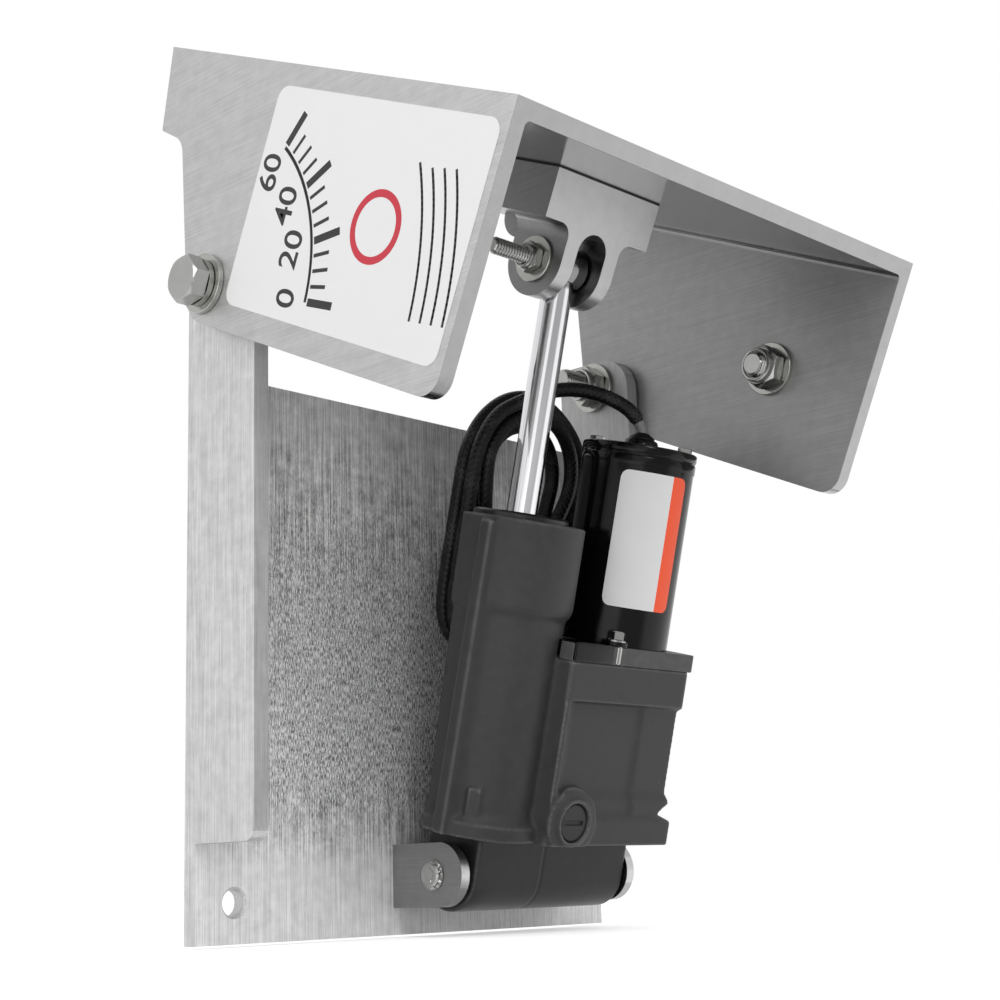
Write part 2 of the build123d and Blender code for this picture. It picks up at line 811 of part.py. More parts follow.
# Lower manifold: a flange whose top slopes up to the pump's waist, with the boss of the release valve
flange_right = 125
flange_top_height = 40.5
with BuildPart() as lower_manifold:
    with BuildSketch(ram.offset(foot_bottom)):
        add(block_section(flange_right, pump_front, pump_back, 3))
    extrude(amount=flange_top_height - foot_bottom)
    with BuildSketch(ram.offset(flange_top_height)):
        add(block_section(flange_right, pump_front, pump_back, 3))
    with BuildSketch(ram.offset(pump_waist)):
        add(block_section(body_right - 9, body_front, pump_back, 3))
    loft()
    add(valve_boss(arch_radius, pump_front + 2))
    add(valve_boss(27.7 / 2, valve_front))
    with BuildSketch(ram_side.offset(lug_seam - ram_x)):
        with Locations((0, foot_bottom / 2)):
            Rectangle(2 * lug_radius, foot_bottom)
        Circle(lug_radius)
    extrude(amount=lug_right - lug_seam)
    with BuildSketch(ram_side.offset(lug_seam - ram_x)):
        Circle(lug_bore / 2)
    extrude(amount=lug_right - lug_seam, mode=Mode.SUBTRACT)
    add(barrel_form.part, mode=Mode.SUBTRACT)
    with BuildSketch(Plane(origin=ram_point(valve_u, -valve_front, valve_height), z_dir=ram_back)):
        Circle(valve_hole / 2)
    extrude(amount=valve_recess, mode=Mode.SUBTRACT)
save(lower_manifold, "lower_manifold")

slot_depth = 1.2
valve_face = valve_front - 1.5
with BuildPart() as release_valve:
    with BuildSketch(
        Plane(origin=ram_point(valve_u, valve_recess - valve_front, valve_height), z_dir=ram_back * -1)
    ):
        Circle(valve_hole / 2 - 0.05)
    extrude(amount=valve_face - valve_front + valve_recess)
    chamfer(release_valve.faces().sort_by(Axis.Y)[0].edges(), 1)
    with BuildSketch(
        Plane(origin=ram_point(valve_u, -valve_face, valve_height), x_dir=(1, 0, 0), z_dir=ram_back)
    ):
        Rectangle(15, 2.4)
    extrude(amount=slot_depth, mode=Mode.SUBTRACT)
save(release_valve, "release_valve")

# Adapter plate between pump and motor
with BuildPart() as motor_adapter:
    with BuildSketch(ram.offset(adapter_bottom)):
        add(block_section(124, pump_front, pump_back, 4))
    extrude(amount=motor_foot - adapter_bottom)
    add(barrel_form.part, mode=Mode.SUBTRACT)
    with BuildSketch(ram.offset(adapter_bottom)):
        with Locations(drive_centre):
            Circle(11)
    extrude(amount=motor_foot - adapter_bottom, mode=Mode.SUBTRACT)
save(motor_adapter, "motor_adapter")

# Motor: drawn can with a foot flange, end cap with the cable tower
can_wall = 2.5
foot_bolt_radius = 42.5
foot_thickness = 3
with BuildPart() as motor_can:
    with BuildSketch(ram.offset(motor_foot)):
        with Locations(drive_centre):
            Circle(motor_radius)
    extrude(amount=motor_top - motor_foot)
    with BuildSketch(ram.offset(motor_foot + foot_thickness)):
        with Locations(drive_centre):
            Circle(motor_radius - can_wall)
    extrude(amount=motor_top - motor_foot - foot_thickness, mode=Mode.SUBTRACT)
    with BuildSketch(ram.offset(motor_foot)):
        with Locations(drive_centre):
            SlotCenterToCenter(2 * foot_bolt_radius, 15, rotation=45)
            Circle(motor_radius - 5, mode=Mode.SUBTRACT)
    extrude(amount=foot_thickness)
    with BuildSketch(ram.offset(motor_foot)):
        with Locations(drive_centre):
            Circle(4.2)
            with PolarLocations(foot_bolt_radius, 2, start_angle=-135):
                Circle(3)
    extrude(amount=foot_thickness, mode=Mode.SUBTRACT)
save(motor_can, "motor_can")

foot_bolt_offset = foot_bolt_radius * cos(radians(45))
with BuildPart() as motor_foot_bolts:
    for side in (-1, 1):
        u = motor_u + side * foot_bolt_offset
        back = -motor_front + side * foot_bolt_offset
        with Locations(facing(ram_point(u, back, motor_foot + foot_thickness), ram_axis)):
            add(hex_bolt(6, 10, 6, foot_thickness, collar=1.2))
save(motor_foot_bolts, "motor_foot_bolts")

cap_top = 262
tower_top = 267
grommet_height = 4
long_bolt_radius = 27
with BuildPart() as motor_long_bolts:
    for angle in (125, 305):
        with Locations(
            facing(
                ram_point(
                    motor_u + long_bolt_radius * cos(radians(angle)),
                    long_bolt_radius * sin(radians(angle)) - motor_front,
                    cap_top,
                ),
                ram_axis,
            )
        ):
            add(hex_bolt(5, 8, 3.5, cap_top - motor_top))
save(motor_long_bolts, "motor_long_bolts")

with BuildPart() as motor_cap:
    with BuildSketch(ram.offset(motor_top)):
        with Locations(drive_centre):
            Circle(motor_radius + 0.5)
    extrude(amount=cap_top - motor_top)
    chamfer(motor_cap.faces().sort_by(Axis.Z)[-1].edges(), 1.5)
    with BuildSketch(ram.offset(cap_top)):
        with Locations(drive_centre):
            Circle(10.5)
    extrude(amount=tower_top - cap_top)
    with BuildSketch(ram.offset(motor_top)):
        with Locations(drive_centre):
            Circle(8)
    extrude(amount=4, mode=Mode.SUBTRACT)
    add(motor_long_bolts.part, mode=Mode.SUBTRACT)
save(motor_cap, "motor_cap")

with BuildPart() as cable_grommet:
    with BuildSketch(ram.offset(tower_top)):
        with Locations(drive_centre):
            Circle(9.5)
    extrude(amount=grommet_height, taper=35)
save(cable_grommet, "cable_grommet")

# Inside the motor
with BuildPart() as field_magnets:
    with BuildSketch(ram.offset(166)):
        with Locations(drive_centre):
            Circle(motor_radius - can_wall)
            Circle(motor_radius - can_wall - 5.5, mode=Mode.SUBTRACT)
            Rectangle(2 * motor_radius, 16, mode=Mode.SUBTRACT)
    extrude(amount=66)
save(field_magnets, "field_magnets")

# Shaft, laminated core, commutator and the two ends of the winding
armature_steps = ((gear_bottom, 254, 4), (172, 226, 25), (232, 244, 11), (228, 232, 18), (166, 172, 18))
with BuildPart() as armature:
    for low, high, radius in armature_steps:
        with BuildSketch(ram.offset(low)):
            with Locations(drive_centre):
                Circle(radius)
        extrude(amount=high - low)
save(armature, "armature")

with BuildPart() as brush_ring:
    with BuildSketch(ram.offset(234)):
        with Locations(drive_centre):
            Circle(motor_radius - can_wall)
            Circle(15, mode=Mode.SUBTRACT)
    extrude(amount=3)
    with BuildSketch(ram.offset(237)):
        with Locations(drive_centre):
            with PolarLocations(20, 2):
                Rectangle(14, 8)
            Circle(11.3, mode=Mode.SUBTRACT)
    extrude(amount=6)
save(brush_ring, "brush_ring")

with BuildPart() as motor_bearings:
    for low, high, outside in ((132, 141, 11), (motor_top - 5, motor_top + 4, 8)):
        with BuildSketch(ram.offset(low)):
            with Locations(drive_centre):
                Circle(outside)
                Circle(4.05, mode=Mode.SUBTRACT)
        extrude(amount=high - low)
save(motor_bearings, "motor_bearings")


def gear(centre, turn, shaft_hole):
    """A pump gear with straight-sided teeth that narrow towards their tips."""
    pitch = gear_module * gear_teeth / 2
    root = pitch - 1.25 * gear_module
    tip_half_width = gear_module * 0.32
    with BuildPart() as wheel:
        with BuildSketch(ram.offset(gear_bottom)):
            with Locations(centre):
                Circle(root)
        extrude(amount=gear_top - gear_bottom)
        with BuildSketch(ram.offset(gear_bottom)):
            with Locations(centre):
                with PolarLocations(0, gear_teeth, start_angle=turn):
                    Polygon(
                        (root - 0.5, -gear_module),
                        (pitch, -gear_module * pi / 4 + 0.2),
                        (gear_tip, -tip_half_width),
                        (gear_tip, tip_half_width),
                        (pitch, gear_module * pi / 4 - 0.2),
                        (root - 0.5, gear_module),
                        align=None,
                    )
        extrude(amount=gear_top - gear_bottom)
        with BuildSketch(ram.offset(gear_bottom)):
            with Locations(centre):
                Circle(shaft_hole)
        extrude(amount=gear_top - gear_bottom, mode=Mode.SUBTRACT)
    return wheel.part


with BuildPart() as drive_gear:
    add(gear(drive_centre, 0, 4))
save(drive_gear, "drive_gear")

with BuildPart() as driven_gear:
    add(gear(driven_centre, 180 / gear_teeth, 3.05))
save(driven_gear, "driven_gear")

with BuildPart() as idler_shaft:
    with BuildSketch(ram.offset(gear_bottom)):
        with Locations(driven_centre):
            Circle(3)
    extrude(amount=adapter_bottom - gear_bottom)
save(idler_shaft, "idler_shaft")

# Label on the motor, bent to the can
label_low = 165
label_high = 246
label_thickness = 0.3
label_start = -154
label_sweep = 74
with BuildPart() as motor_label:
    with BuildSketch(ram.offset(label_low)):
        with BuildLine():
            outer_edge = CenterArc(drive_centre, motor_radius + label_thickness, label_start, label_sweep)
            inner_edge = CenterArc(drive_centre, motor_radius, label_start, label_sweep)
            Line(outer_edge @ 0, inner_edge @ 0)
            Line(outer_edge @ 1, inner_edge @ 1)
        make_face()
    extrude(amount=label_high - label_low)
save(motor_label, "motor_label")

# Cable: it leaves the tower, runs back past the motor and lies in a hank behind the ram.
# The hank is a hull about two circles, two turns wide and two turns deep.
hank_top = (46, 235)
hank_low = (28, 155)
hank_top_radius = 52.5
hank_low_radius = 34
hank_band = 2 * (cable_size + 0.5)
hank_front = 38.5
lead_points = [
    (motor_u, -motor_front, tower_top + grommet_height),
    (82, -5, 281),
    (71, 7, 289),
    (56, 22, 292),
    (40, 35, 287),
    (26, 42, 277),
]
lead_route = [ram_point(*point) for point in lead_points]
lead_radii = []
for before, here, after in zip(lead_route, lead_route[1:], lead_route[2:]):
    turn = radians((here - before).get_angle(after - here))
    shorter = min((here - before).length, (after - here).length)
    lead_radii.append(0.45 * shorter / tan(turn / 2))
print("cable bend radii", [round(radius, 1) for radius in lead_radii])
with BuildPart() as harness_lead:
    with BuildLine():
        lead_line = FilletPolyline(*lead_route, radius=lead_radii)
    with BuildSketch(Plane(origin=lead_line @ 0, z_dir=lead_line % 0)):
        Circle(cable_size / 2)
    sweep()
cable_volume = lead_line.length * pi * cable_size**2 / 4
print("cable lead length", round(lead_line.length, 1))
print("cable volume ratio", round(harness_lead.part.volume / cable_volume, 4))
save(harness_lead, "harness_lead")


def hank_outline(inset):
    """The hull about the two circles of the hank, inside its edge by this much."""
    with BuildSketch(mode=Mode.PRIVATE) as outline:
        with Locations(hank_top):
            Circle(hank_top_radius - inset)
        with Locations(hank_low):
            Circle(hank_low_radius - inset)
        make_hull()
    return outline.sketch


hank_plane = Plane(origin=ram_point(0, hank_front, 0), x_dir=(1, 0, 0), z_dir=ram_back * -1)
with BuildPart() as harness_coil:
    with BuildSketch(hank_plane):
        add(hank_outline(0))
        add(hank_outline(hank_band), mode=Mode.SUBTRACT)
    extrude(amount=-hank_band)
save(harness_coil, "harness_coil")

# A strap holds the turns together where the hank runs straight, on its right side
run_u = hank_top[0] - hank_low[0]
run_up = hank_top[1] - hank_low[1]
taper_angle = asin((hank_top_radius - hank_low_radius) / hypot(run_u, run_up))
strap_lean = atan2(run_u, run_up) + taper_angle
along_band = right * sin(strap_lean) + ram_axis * cos(strap_lean)
across_band = right * cos(strap_lean) - ram_axis * sin(strap_lean)
band_start = ram_point(hank_low[0], hank_front + hank_band / 2, hank_low[1])
strap_centre = band_start + across_band * (hank_low_radius - hank_band / 2) + along_band * 62
strap_wall = 1.3
strap_width = 5
with BuildPart() as cable_strap:
    with BuildSketch(Plane(origin=strap_centre, x_dir=across_band, z_dir=along_band)):
        Rectangle(hank_band + 0.6 + 2 * strap_wall, hank_band + 0.6 + 2 * strap_wall)
        Rectangle(hank_band + 0.6, hank_band + 0.6, mode=Mode.SUBTRACT)
    extrude(amount=strap_width)
save(cable_strap, "cable_strap")

# The cable ends in a plug inside the hank
plug_u = 29
plug_back = hank_front + hank_band / 2
plug_low = 147
plug_length = 30
plug_size = 13
with BuildPart() as harness_plug:
    with BuildSketch(ram.offset(plug_low)):
        with Locations(Location((plug_u, plug_back))):
            RectangleRounded(plug_size, plug_size, 3)
    extrude(amount=plug_length)
    with BuildSketch(ram.offset(plug_low)):
        with Locations(Location((plug_u, plug_back))):
            Circle(plug_size * 0.3)
    extrude(amount=plug_length * 0.4, mode=Mode.SUBTRACT)
    chamfer(harness_plug.faces().sort_by(Axis.Z)[-1].edges(), 1.2)
save(harness_plug, "harness_plug")
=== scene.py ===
import json
import math
import bmesh
import bpy
import numpy
from mathutils import Matrix, Vector


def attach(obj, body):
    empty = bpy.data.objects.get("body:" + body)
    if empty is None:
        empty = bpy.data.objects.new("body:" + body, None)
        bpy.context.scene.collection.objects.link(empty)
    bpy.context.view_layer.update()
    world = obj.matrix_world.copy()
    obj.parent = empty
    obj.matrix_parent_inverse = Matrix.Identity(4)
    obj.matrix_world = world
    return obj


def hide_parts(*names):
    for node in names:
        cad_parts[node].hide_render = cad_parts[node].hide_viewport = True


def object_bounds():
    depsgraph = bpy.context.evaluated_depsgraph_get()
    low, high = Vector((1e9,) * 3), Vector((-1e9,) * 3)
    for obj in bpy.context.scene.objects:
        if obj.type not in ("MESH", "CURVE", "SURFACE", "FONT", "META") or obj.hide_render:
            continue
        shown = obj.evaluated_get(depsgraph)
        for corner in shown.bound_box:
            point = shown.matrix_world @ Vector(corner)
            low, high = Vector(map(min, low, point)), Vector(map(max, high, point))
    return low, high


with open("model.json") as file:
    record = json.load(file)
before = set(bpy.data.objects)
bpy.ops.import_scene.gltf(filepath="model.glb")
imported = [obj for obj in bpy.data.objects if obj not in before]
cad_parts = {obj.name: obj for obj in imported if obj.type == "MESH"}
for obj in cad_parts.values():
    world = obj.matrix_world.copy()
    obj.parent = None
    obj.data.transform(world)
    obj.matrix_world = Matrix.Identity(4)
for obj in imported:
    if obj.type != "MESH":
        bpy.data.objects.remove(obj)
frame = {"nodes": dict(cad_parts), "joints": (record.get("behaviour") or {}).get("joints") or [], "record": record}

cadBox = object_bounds()
print("frame loaded")

# Shared measures: the joints give the hinge, the ram and the motor shaft
mm = 0.001
joints = {joint["name"]: joint for joint in frame["joints"]}
hingeCentre = Vector(joints["tilt"]["pos_m"])
lowerPin = Vector(joints["ram_swing"]["pos_m"])
ramAxis = Vector(joints["rod_slide"]["axis"])
plateSlope = math.radians(24.52)
plateThick = 9.525
toRight, toLeft, toFront = Vector((1, 0, 0)), Vector((-1, 0, 0)), Vector((0, -1, 0))


# A frame's matrix from its origin, x axis and z axis
def axes(origin, xAxis, zAxis):
    zAxis = zAxis.normalized()
    xAxis = (xAxis - zAxis * xAxis.dot(zAxis)).normalized()
    made = Matrix((xAxis, zAxis.cross(xAxis), zAxis)).transposed().to_4x4()
    made.translation = origin
    return made


# The ram's frame has x to the right, y towards the boat and z up the ram from the lower pin
ramFrame = axes(lowerPin, toRight, ramAxis)
pinHeight = lowerPin.dot(ramAxis) / mm
shaftSpot = ramFrame.inverted() @ Vector(joints["motor_spin"]["pos_m"])
# The plate's frame has x to the right, y back along the motor plate and z out of it
plateNormal = Vector((0, -math.sin(plateSlope), math.cos(plateSlope)))
plateBack = Vector((0, math.cos(plateSlope), math.sin(plateSlope)))
hingeBack, hingeDrop = 202.7, 125.4
plateFrame = axes(hingeCentre - plateBack * hingeBack * mm + plateNormal * hingeDrop * mm, toRight, plateNormal)


# Millimetres across, back along the plate and down from its face
def onPlate(x, back, drop):
    return plateFrame @ Vector((x * mm, back * mm, -drop * mm))


# Millimetres right of the lower pin, towards the boat and up the ram
def onRam(u, back, height):
    return ramFrame @ Vector((u * mm, back * mm, height * mm))


# An object in the scene, from its data
def put(name, data):
    made = bpy.data.objects.new(name, data)
    bpy.context.scene.collection.objects.link(made)
    return made


# Camera, solved from the straight edges and round holes of the photograph
camera = {"place": (-724.7, -773.7, -92.6), "right": (0.69403, -0.71938, -0.02914),
          "forward": (0.70789, 0.67445, 0.20986), "focal": 63.3}
lens = bpy.data.cameras.new("camera")
lens.lens = camera["focal"]
lens.sensor_width = 36
lens.clip_start = 0.01
eye = put("camera", lens)
eye.matrix_world = axes(Vector(camera["place"]) * mm, Vector(camera["right"]), -Vector(camera["forward"]))
bpy.context.scene.camera = eye
print("camera placed")


# An sRGB hex colour as the linear colour that a shader takes
def linear(hexColour):
    parts = [int(hexColour[place:place + 2], 16) / 255 for place in (1, 3, 5)]
    return [part / 12.92 if part <= 0.04045 else ((part + 0.055) / 1.055) ** 2.4 for part in parts] + [1]


# Values and links for a node's sockets, by name, or in order as a list. A node as a value gives its first output.
def feed(node, values):
    named = isinstance(values, dict)
    sockets = node.inputs if named else [socket for socket in node.inputs if socket.enabled]
    for name, value in values.items() if named else enumerate(values):
        if isinstance(value, bpy.types.Node):
            value = next(output for output in value.outputs if output.enabled)
        if isinstance(value, bpy.types.NodeSocket):
            node.id_data.links.new(value, sockets[name])
        else:
            sockets[name].default_value = linear(value) if isinstance(value, str) else value


# One node with its settings, its values or links, and the stops of a ramp
def add(tree, kind, values=(), operation=None, stops=(), **settings):
    made = tree.nodes.new("ShaderNode" + kind)
    if operation:
        made.operation = operation
    for name, value in settings.items():
        setattr(made, name, value)
    feed(made, values)
    if stops:
        ramp = made.color_ramp.elements
        while len(ramp) < len(stops):
            ramp.new(0.5)
        for element, (place, colour) in zip(ramp, stops):
            element.position = place
            element.color = linear(colour) if isinstance(colour, str) else (colour, colour, colour, 1)
    return made


# A new material, its tree, its shader and the place on the object in millimetres
def material(name):
    made = bpy.data.materials.new(name)
    made.use_nodes = True
    tree = made.node_tree
    spot = add(tree, "TexCoord")
    scaled = add(tree, "VectorMath", [spot.outputs["Object"], (1000, 1000, 1000)], "MULTIPLY")
    return made, tree, tree.nodes["Principled BSDF"], scaled


# Mill-finish aluminium plate: rolled, so it has long fine lines one way, cloudy patches and soft reflections.
# The lines are really under 0.1 mm apart, and are drawn 0.3 mm wide so that they show.
plateFinish = {"lineWidth": 0.3, "lineLength": 45, "cloud": 9, "clouded": 0.26, "footGain": 0.36,
               "streak": (1 / 3.6, 1 / 0.5, 1 / 0.5), "streakEdge": 148, "streakEnd": 98, "sawnEdge": 151,
               "sawnFoot": -66}


# Patches give the painted light and shade of the faces of one direction, and how much duller and more oxidised they
# are, on the left and on the right
def aluminiumPlate(name, grainTurn, colours, roughness, lineBump, streaky, contrast, paintedLightAndFinish, shadowSeam=None, sawn=0.0):
    made, tree, shader, spot = material(name)
    normal = tree.nodes["Texture Coordinate"].outputs["Normal"]
    grain = add(tree, "Mapping", {"Vector": spot, "Rotation": grainTurn}, vector_type="TEXTURE")
    length, width = plateFinish["lineLength"], plateFinish["lineWidth"]
    stretched = add(tree, "Mapping", {"Vector": grain, "Scale": (1 / length, 1 / width, 1 / width)})
    lines = add(tree, "TexNoise", [stretched, 1, 3, 0.6])
    cloud = add(tree, "TexNoise", [spot, 1 / plateFinish["cloud"], 6, 0.6])
    streakMap = add(tree, "Mapping", {"Vector": grain, "Scale": plateFinish["streak"]})
    streaks = add(tree, "TexNoise", [streakMap, 1, 4, 0.75])
    place = add(tree, "SeparateXYZ", [spot])
    # Streaks cover the middle of the web's broad front face alone, where the plate lay against others
    facing = add(tree, "VectorMath", [normal, toFront], "DOT_PRODUCT")
    broadFace = add(tree, "Math", [facing, 0.9], "GREATER_THAN")
    level = add(tree, "MapRange", [place.outputs["Z"], -123, 207])
    away = add(tree, "Math", [place.outputs["X"]], "ABSOLUTE")
    inner = add(tree, "MapRange", [away, plateFinish["streakEdge"], plateFinish["streakEnd"]])
    band = add(tree, "ValToRGB", [level], stops=((0.12, 0.0), (0.28, 1.0), (0.52, 1.0), (0.88, 0.1)))
    lain = add(tree, "Math", [band, broadFace], "MULTIPLY")
    worn = add(tree, "Math", [lain, inner], "MULTIPLY")
    reach = add(tree, "MapRange", [worn, 0, 1, streaky[0], streaky[1]])
    grained = add(tree, "Mix", [reach, lines, streaks])
    clouded = add(tree, "MapRange", [worn, 0, 1, plateFinish["clouded"], 0.08])
    cloudy = add(tree, "Mix", [clouded, grained, cloud])
    sharper = add(tree, "MapRange", [worn, 0, 1, contrast[0], contrast[1]])
    centred = add(tree, "Math", [cloudy, 0.5], "SUBTRACT")
    spread = add(tree, "Math", [centred, sharper, 0.5], "MULTIPLY_ADD")
    tone = add(tree, "ValToRGB", [spread], stops=((0.36, colours[0]), (0.64, colours[1])))
    gain, dull, metallic = 1.0, 0.0, 1.0
    # Painted light and shade: the faces of one direction are made brighter or darker
    for direction, *sides in paintedLightAndFinish:
        turned = add(tree, "VectorMath", [normal, direction], "DOT_PRODUCT")
        faces = add(tree, "Math", [turned, 0.65], "GREATER_THAN")
        for side, (paintedLight, duller, oxide) in zip(("LESS_THAN", "GREATER_THAN"), sides):
            here = add(tree, "Math", [place.outputs["X"], 0], side)
            both = add(tree, "Math", [faces, here], "MULTIPLY")
            gain = add(tree, "Math", [both, paintedLight, gain], "MULTIPLY_ADD")
            dull = add(tree, "Math", [both, duller, dull], "MULTIPLY_ADD")
            metallic = add(tree, "Math", [both, -oxide, metallic], "MULTIPLY_ADD")
    # The foot of the broad face is the brightest
    foot = add(tree, "MapRange", [level, 0.2, 0.12])
    lowFace = add(tree, "Math", [foot, broadFace], "MULTIPLY")
    gain = add(tree, "Math", [lowFace, plateFinish["footGain"], gain], "MULTIPLY_ADD")
    if sawn:
        # The sawn front edges of the flanges are duller than the rolled faces
        outer = add(tree, "Math", [away, plateFinish["sawnEdge"]], "GREATER_THAN")
        above = add(tree, "Math", [place.outputs["Z"], plateFinish["sawnFoot"]], "GREATER_THAN")
        strip = add(tree, "Math", [outer, above], "MULTIPLY")
        cut = add(tree, "Math", [strip, broadFace], "MULTIPLY")
        gain = add(tree, "Math", [cut, -sawn, gain], "MULTIPLY_ADD")
    if shadowSeam is not None:
        # Painted shadow darkens the joint under the motor plate
        along = add(tree, "VectorMath", [spot, plateNormal], "DOT_PRODUCT")
        gain = add(tree, "MapRange", [along, shadowSeam - 1.1, shadowSeam - 0.7, gain, 0.06])
    shade = add(tree, "HueSaturation", {"Color": tone, "Value": gain})
    polish = add(tree, "MapRange", [cloudy, 0.35, 0.65, roughness[0], roughness[1]])
    rough = add(tree, "Math", [polish, dull], "ADD")
    bump = add(tree, "Bump", {"Strength": lineBump, "Distance": 0.00004, "Height": grained})
    feed(shader, {"Base Color": shade, "Metallic": metallic, "Roughness": rough, "Normal": bump})
    return made


# Turned, ground and plated metals: fine specks, patches a little darker and lighter, and painted shade in their
# hollows
def bareMetal(name, colour, rough, speck=0.5, bump=0.05, variation=0.08, darkFrom=None):
    made, tree, shader, spot = material(name)
    fine = add(tree, "TexNoise", [spot, 1 / speck, 5, 0.65])
    broad = add(tree, "TexNoise", [spot, 0.12, 3])
    value = add(tree, "MapRange", [broad, 0, 1, 1 - variation, 1 + variation])
    # Painted shade darkens hollows such as the roots of a thread
    surface = add(tree, "NewGeometry")
    hollowShade = add(tree, "ValToRGB", [surface.outputs["Pointiness"]], stops=((0.46, 0.06), (0.498, 1.0)))
    darker = add(tree, "Math", [value, hollowShade], "MULTIPLY")
    if darkFrom:
        # Past this height up the ram the steel is darker
        height = add(tree, "VectorMath", [spot, ramAxis], "DOT_PRODUCT")
        bare = add(tree, "MapRange", [height, darkFrom, darkFrom + 2, 1.0, 0.3])
        darker = add(tree, "Math", [darker, bare], "MULTIPLY")
    hue = add(tree, "HueSaturation", {"Color": colour, "Value": darker})
    dull = add(tree, "MapRange", [fine, 0, 1, rough[0], rough[1]])
    relief = add(tree, "Bump", {"Strength": bump, "Distance": 0.0001, "Height": fine})
    feed(shader, {"Base Color": hue, "Metallic": 1.0, "Roughness": dull, "Normal": relief})
    return made


# Paint, plastic, rubber and print: a fine grain of its own size, and slight patches in its gloss
def skin(name, colour, rough, grain=1.2, bump=0.2, variation=0.12, specular=0.5, coat=0.0):
    made, tree, shader, spot = material(name)
    fine = add(tree, "TexNoise", [spot, 1 / grain, 6, 0.6])
    broad = add(tree, "TexNoise", [spot, 0.06, 4])
    value = add(tree, "MapRange", [broad, 0, 1, 1 - variation, 1 + variation])
    hue = add(tree, "HueSaturation", {"Color": colour, "Value": value})
    dull = add(tree, "MapRange", [broad, 0, 1, rough[0], rough[1]])
    relief = add(tree, "Bump", {"Strength": bump, "Distance": 0.0002, "Height": fine})
    feed(shader, {"Base Color": hue, "Roughness": dull, "Specular IOR Level": specular, "Coat Weight": coat,
                  "Coat Roughness": 0.05, "Normal": relief})
    return made


# Painted aluminium casting: satin charcoal paint over a sand-cast skin, lighter along its edges from wear and a
# painted highlight, and darker in its hollows from painted shade
castFinish = {"paint": "#3d3d3e", "worn": "#848484", "hollow": 0.45, "sand": 0.9, "lump": 7, "lugTop": 23.5}


def paintedCasting():
    made, tree, shader, spot = material("painted_aluminium_casting")
    sand = add(tree, "TexNoise", [spot, 1 / castFinish["sand"], 4, 0.7])
    lump = add(tree, "TexNoise", [spot, 1 / castFinish["lump"], 5, 0.6])
    surface = add(tree, "NewGeometry")
    # Pale edges are wear and a painted highlight; darker hollows are painted shade
    edge = add(tree, "ValToRGB", [surface.outputs["Pointiness"]], stops=((0.51, 0.0), (0.57, 1.0)))
    hollow = add(tree, "ValToRGB", [surface.outputs["Pointiness"]],
                 stops=((0.44, castFinish["hollow"]), (0.497, 1.0)))
    wornAndHighlitEdge = add(tree, "Math", [edge, lump], "MULTIPLY")
    value = add(tree, "MapRange", [lump, 0, 1, 0.78, 1.22])
    # The lug below the flange is darker and glossier
    height = add(tree, "VectorMath", [spot, ramAxis], "DOT_PRODUCT")
    lug = add(tree, "Math", [height, pinHeight + castFinish["lugTop"]], "LESS_THAN")
    lugTone = add(tree, "MapRange", [lug, 0, 1, 1.0, 0.6])
    hollowShaded = add(tree, "Math", [value, hollow], "MULTIPLY")
    toned = add(tree, "Math", [hollowShaded, lugTone], "MULTIPLY")
    paint = add(tree, "HueSaturation", {"Color": castFinish["paint"], "Value": toned})
    colour = add(tree, "Mix", [wornAndHighlitEdge, paint, castFinish["worn"]], data_type="RGBA")
    gloss = add(tree, "MapRange", [lump, 0, 1, 0.4, 0.56])
    dull = add(tree, "Math", [lug, -0.16, gloss], "MULTIPLY_ADD")
    both = add(tree, "Mix", [0.45, sand, lump])
    relief = add(tree, "Bump", {"Strength": 0.4, "Distance": 0.0003, "Height": both})
    feed(shader, {"Base Color": colour, "Roughness": dull, "Specular IOR Level": 0.25, "Normal": relief})
    return made


# Braided polyester sleeve: its strands cross every 3.6 mm, and painted glints light them one by one
sleeveFinish = {"strand": "#0b0b0c", "paintedGlint": "#303032", "crossing": 3.6, "strands": 9, "bare": "#8c8c8e",
                "neck": 7.0}


def braidedSleeve():
    made, tree, shader, spot = material("braided_polyester_sleeve")
    route = add(tree, "Attribute", attribute_name="along")
    parts = add(tree, "SeparateXYZ", [route.outputs["Vector"]])
    forward = add(tree, "Math", [parts.outputs["X"], 2 * math.pi / sleeveFinish["crossing"]], "MULTIPLY")
    sideways = add(tree, "Math", [parts.outputs["Y"], 2 * math.pi * sleeveFinish["strands"]], "MULTIPLY")
    summed = add(tree, "Math", [forward, sideways], "ADD")
    taken = add(tree, "Math", [forward, sideways], "SUBTRACT")
    one = add(tree, "Math", [summed], "SINE")
    other = add(tree, "Math", [taken], "SINE")
    strands = add(tree, "Math", [one, other], "MAXIMUM")
    weave = add(tree, "MapRange", [strands, -0.2, 1.0])
    broad = add(tree, "TexNoise", [spot, 0.08, 4])
    # Painted glints on the raised strands, in broad patches
    paintedGlint = add(tree, "ValToRGB", [broad], stops=((0.5, 0.0), (0.62, 1.0)))
    strength = add(tree, "Math", [weave, paintedGlint], "MULTIPLY")
    sleeve = add(tree, "Mix", [strength, sleeveFinish["strand"], sleeveFinish["paintedGlint"]], data_type="RGBA")
    neck = add(tree, "Math", [parts.outputs["X"], sleeveFinish["neck"]], "LESS_THAN")
    colour = add(tree, "Mix", [neck, sleeve, sleeveFinish["bare"]], data_type="RGBA")
    relief = add(tree, "Bump", {"Strength": 0.5, "Distance": 0.0004, "Height": weave})
    feed(shader, {"Base Color": colour, "Roughness": 0.34, "Specular IOR Level": 0.3, "Normal": relief})
    return made


upright, alongPlate = (0, math.radians(90), 0), (plateSlope, 0, math.radians(90))
shadowSeamLevel = plateFrame.translation.dot(plateNormal) / mm - plateThick
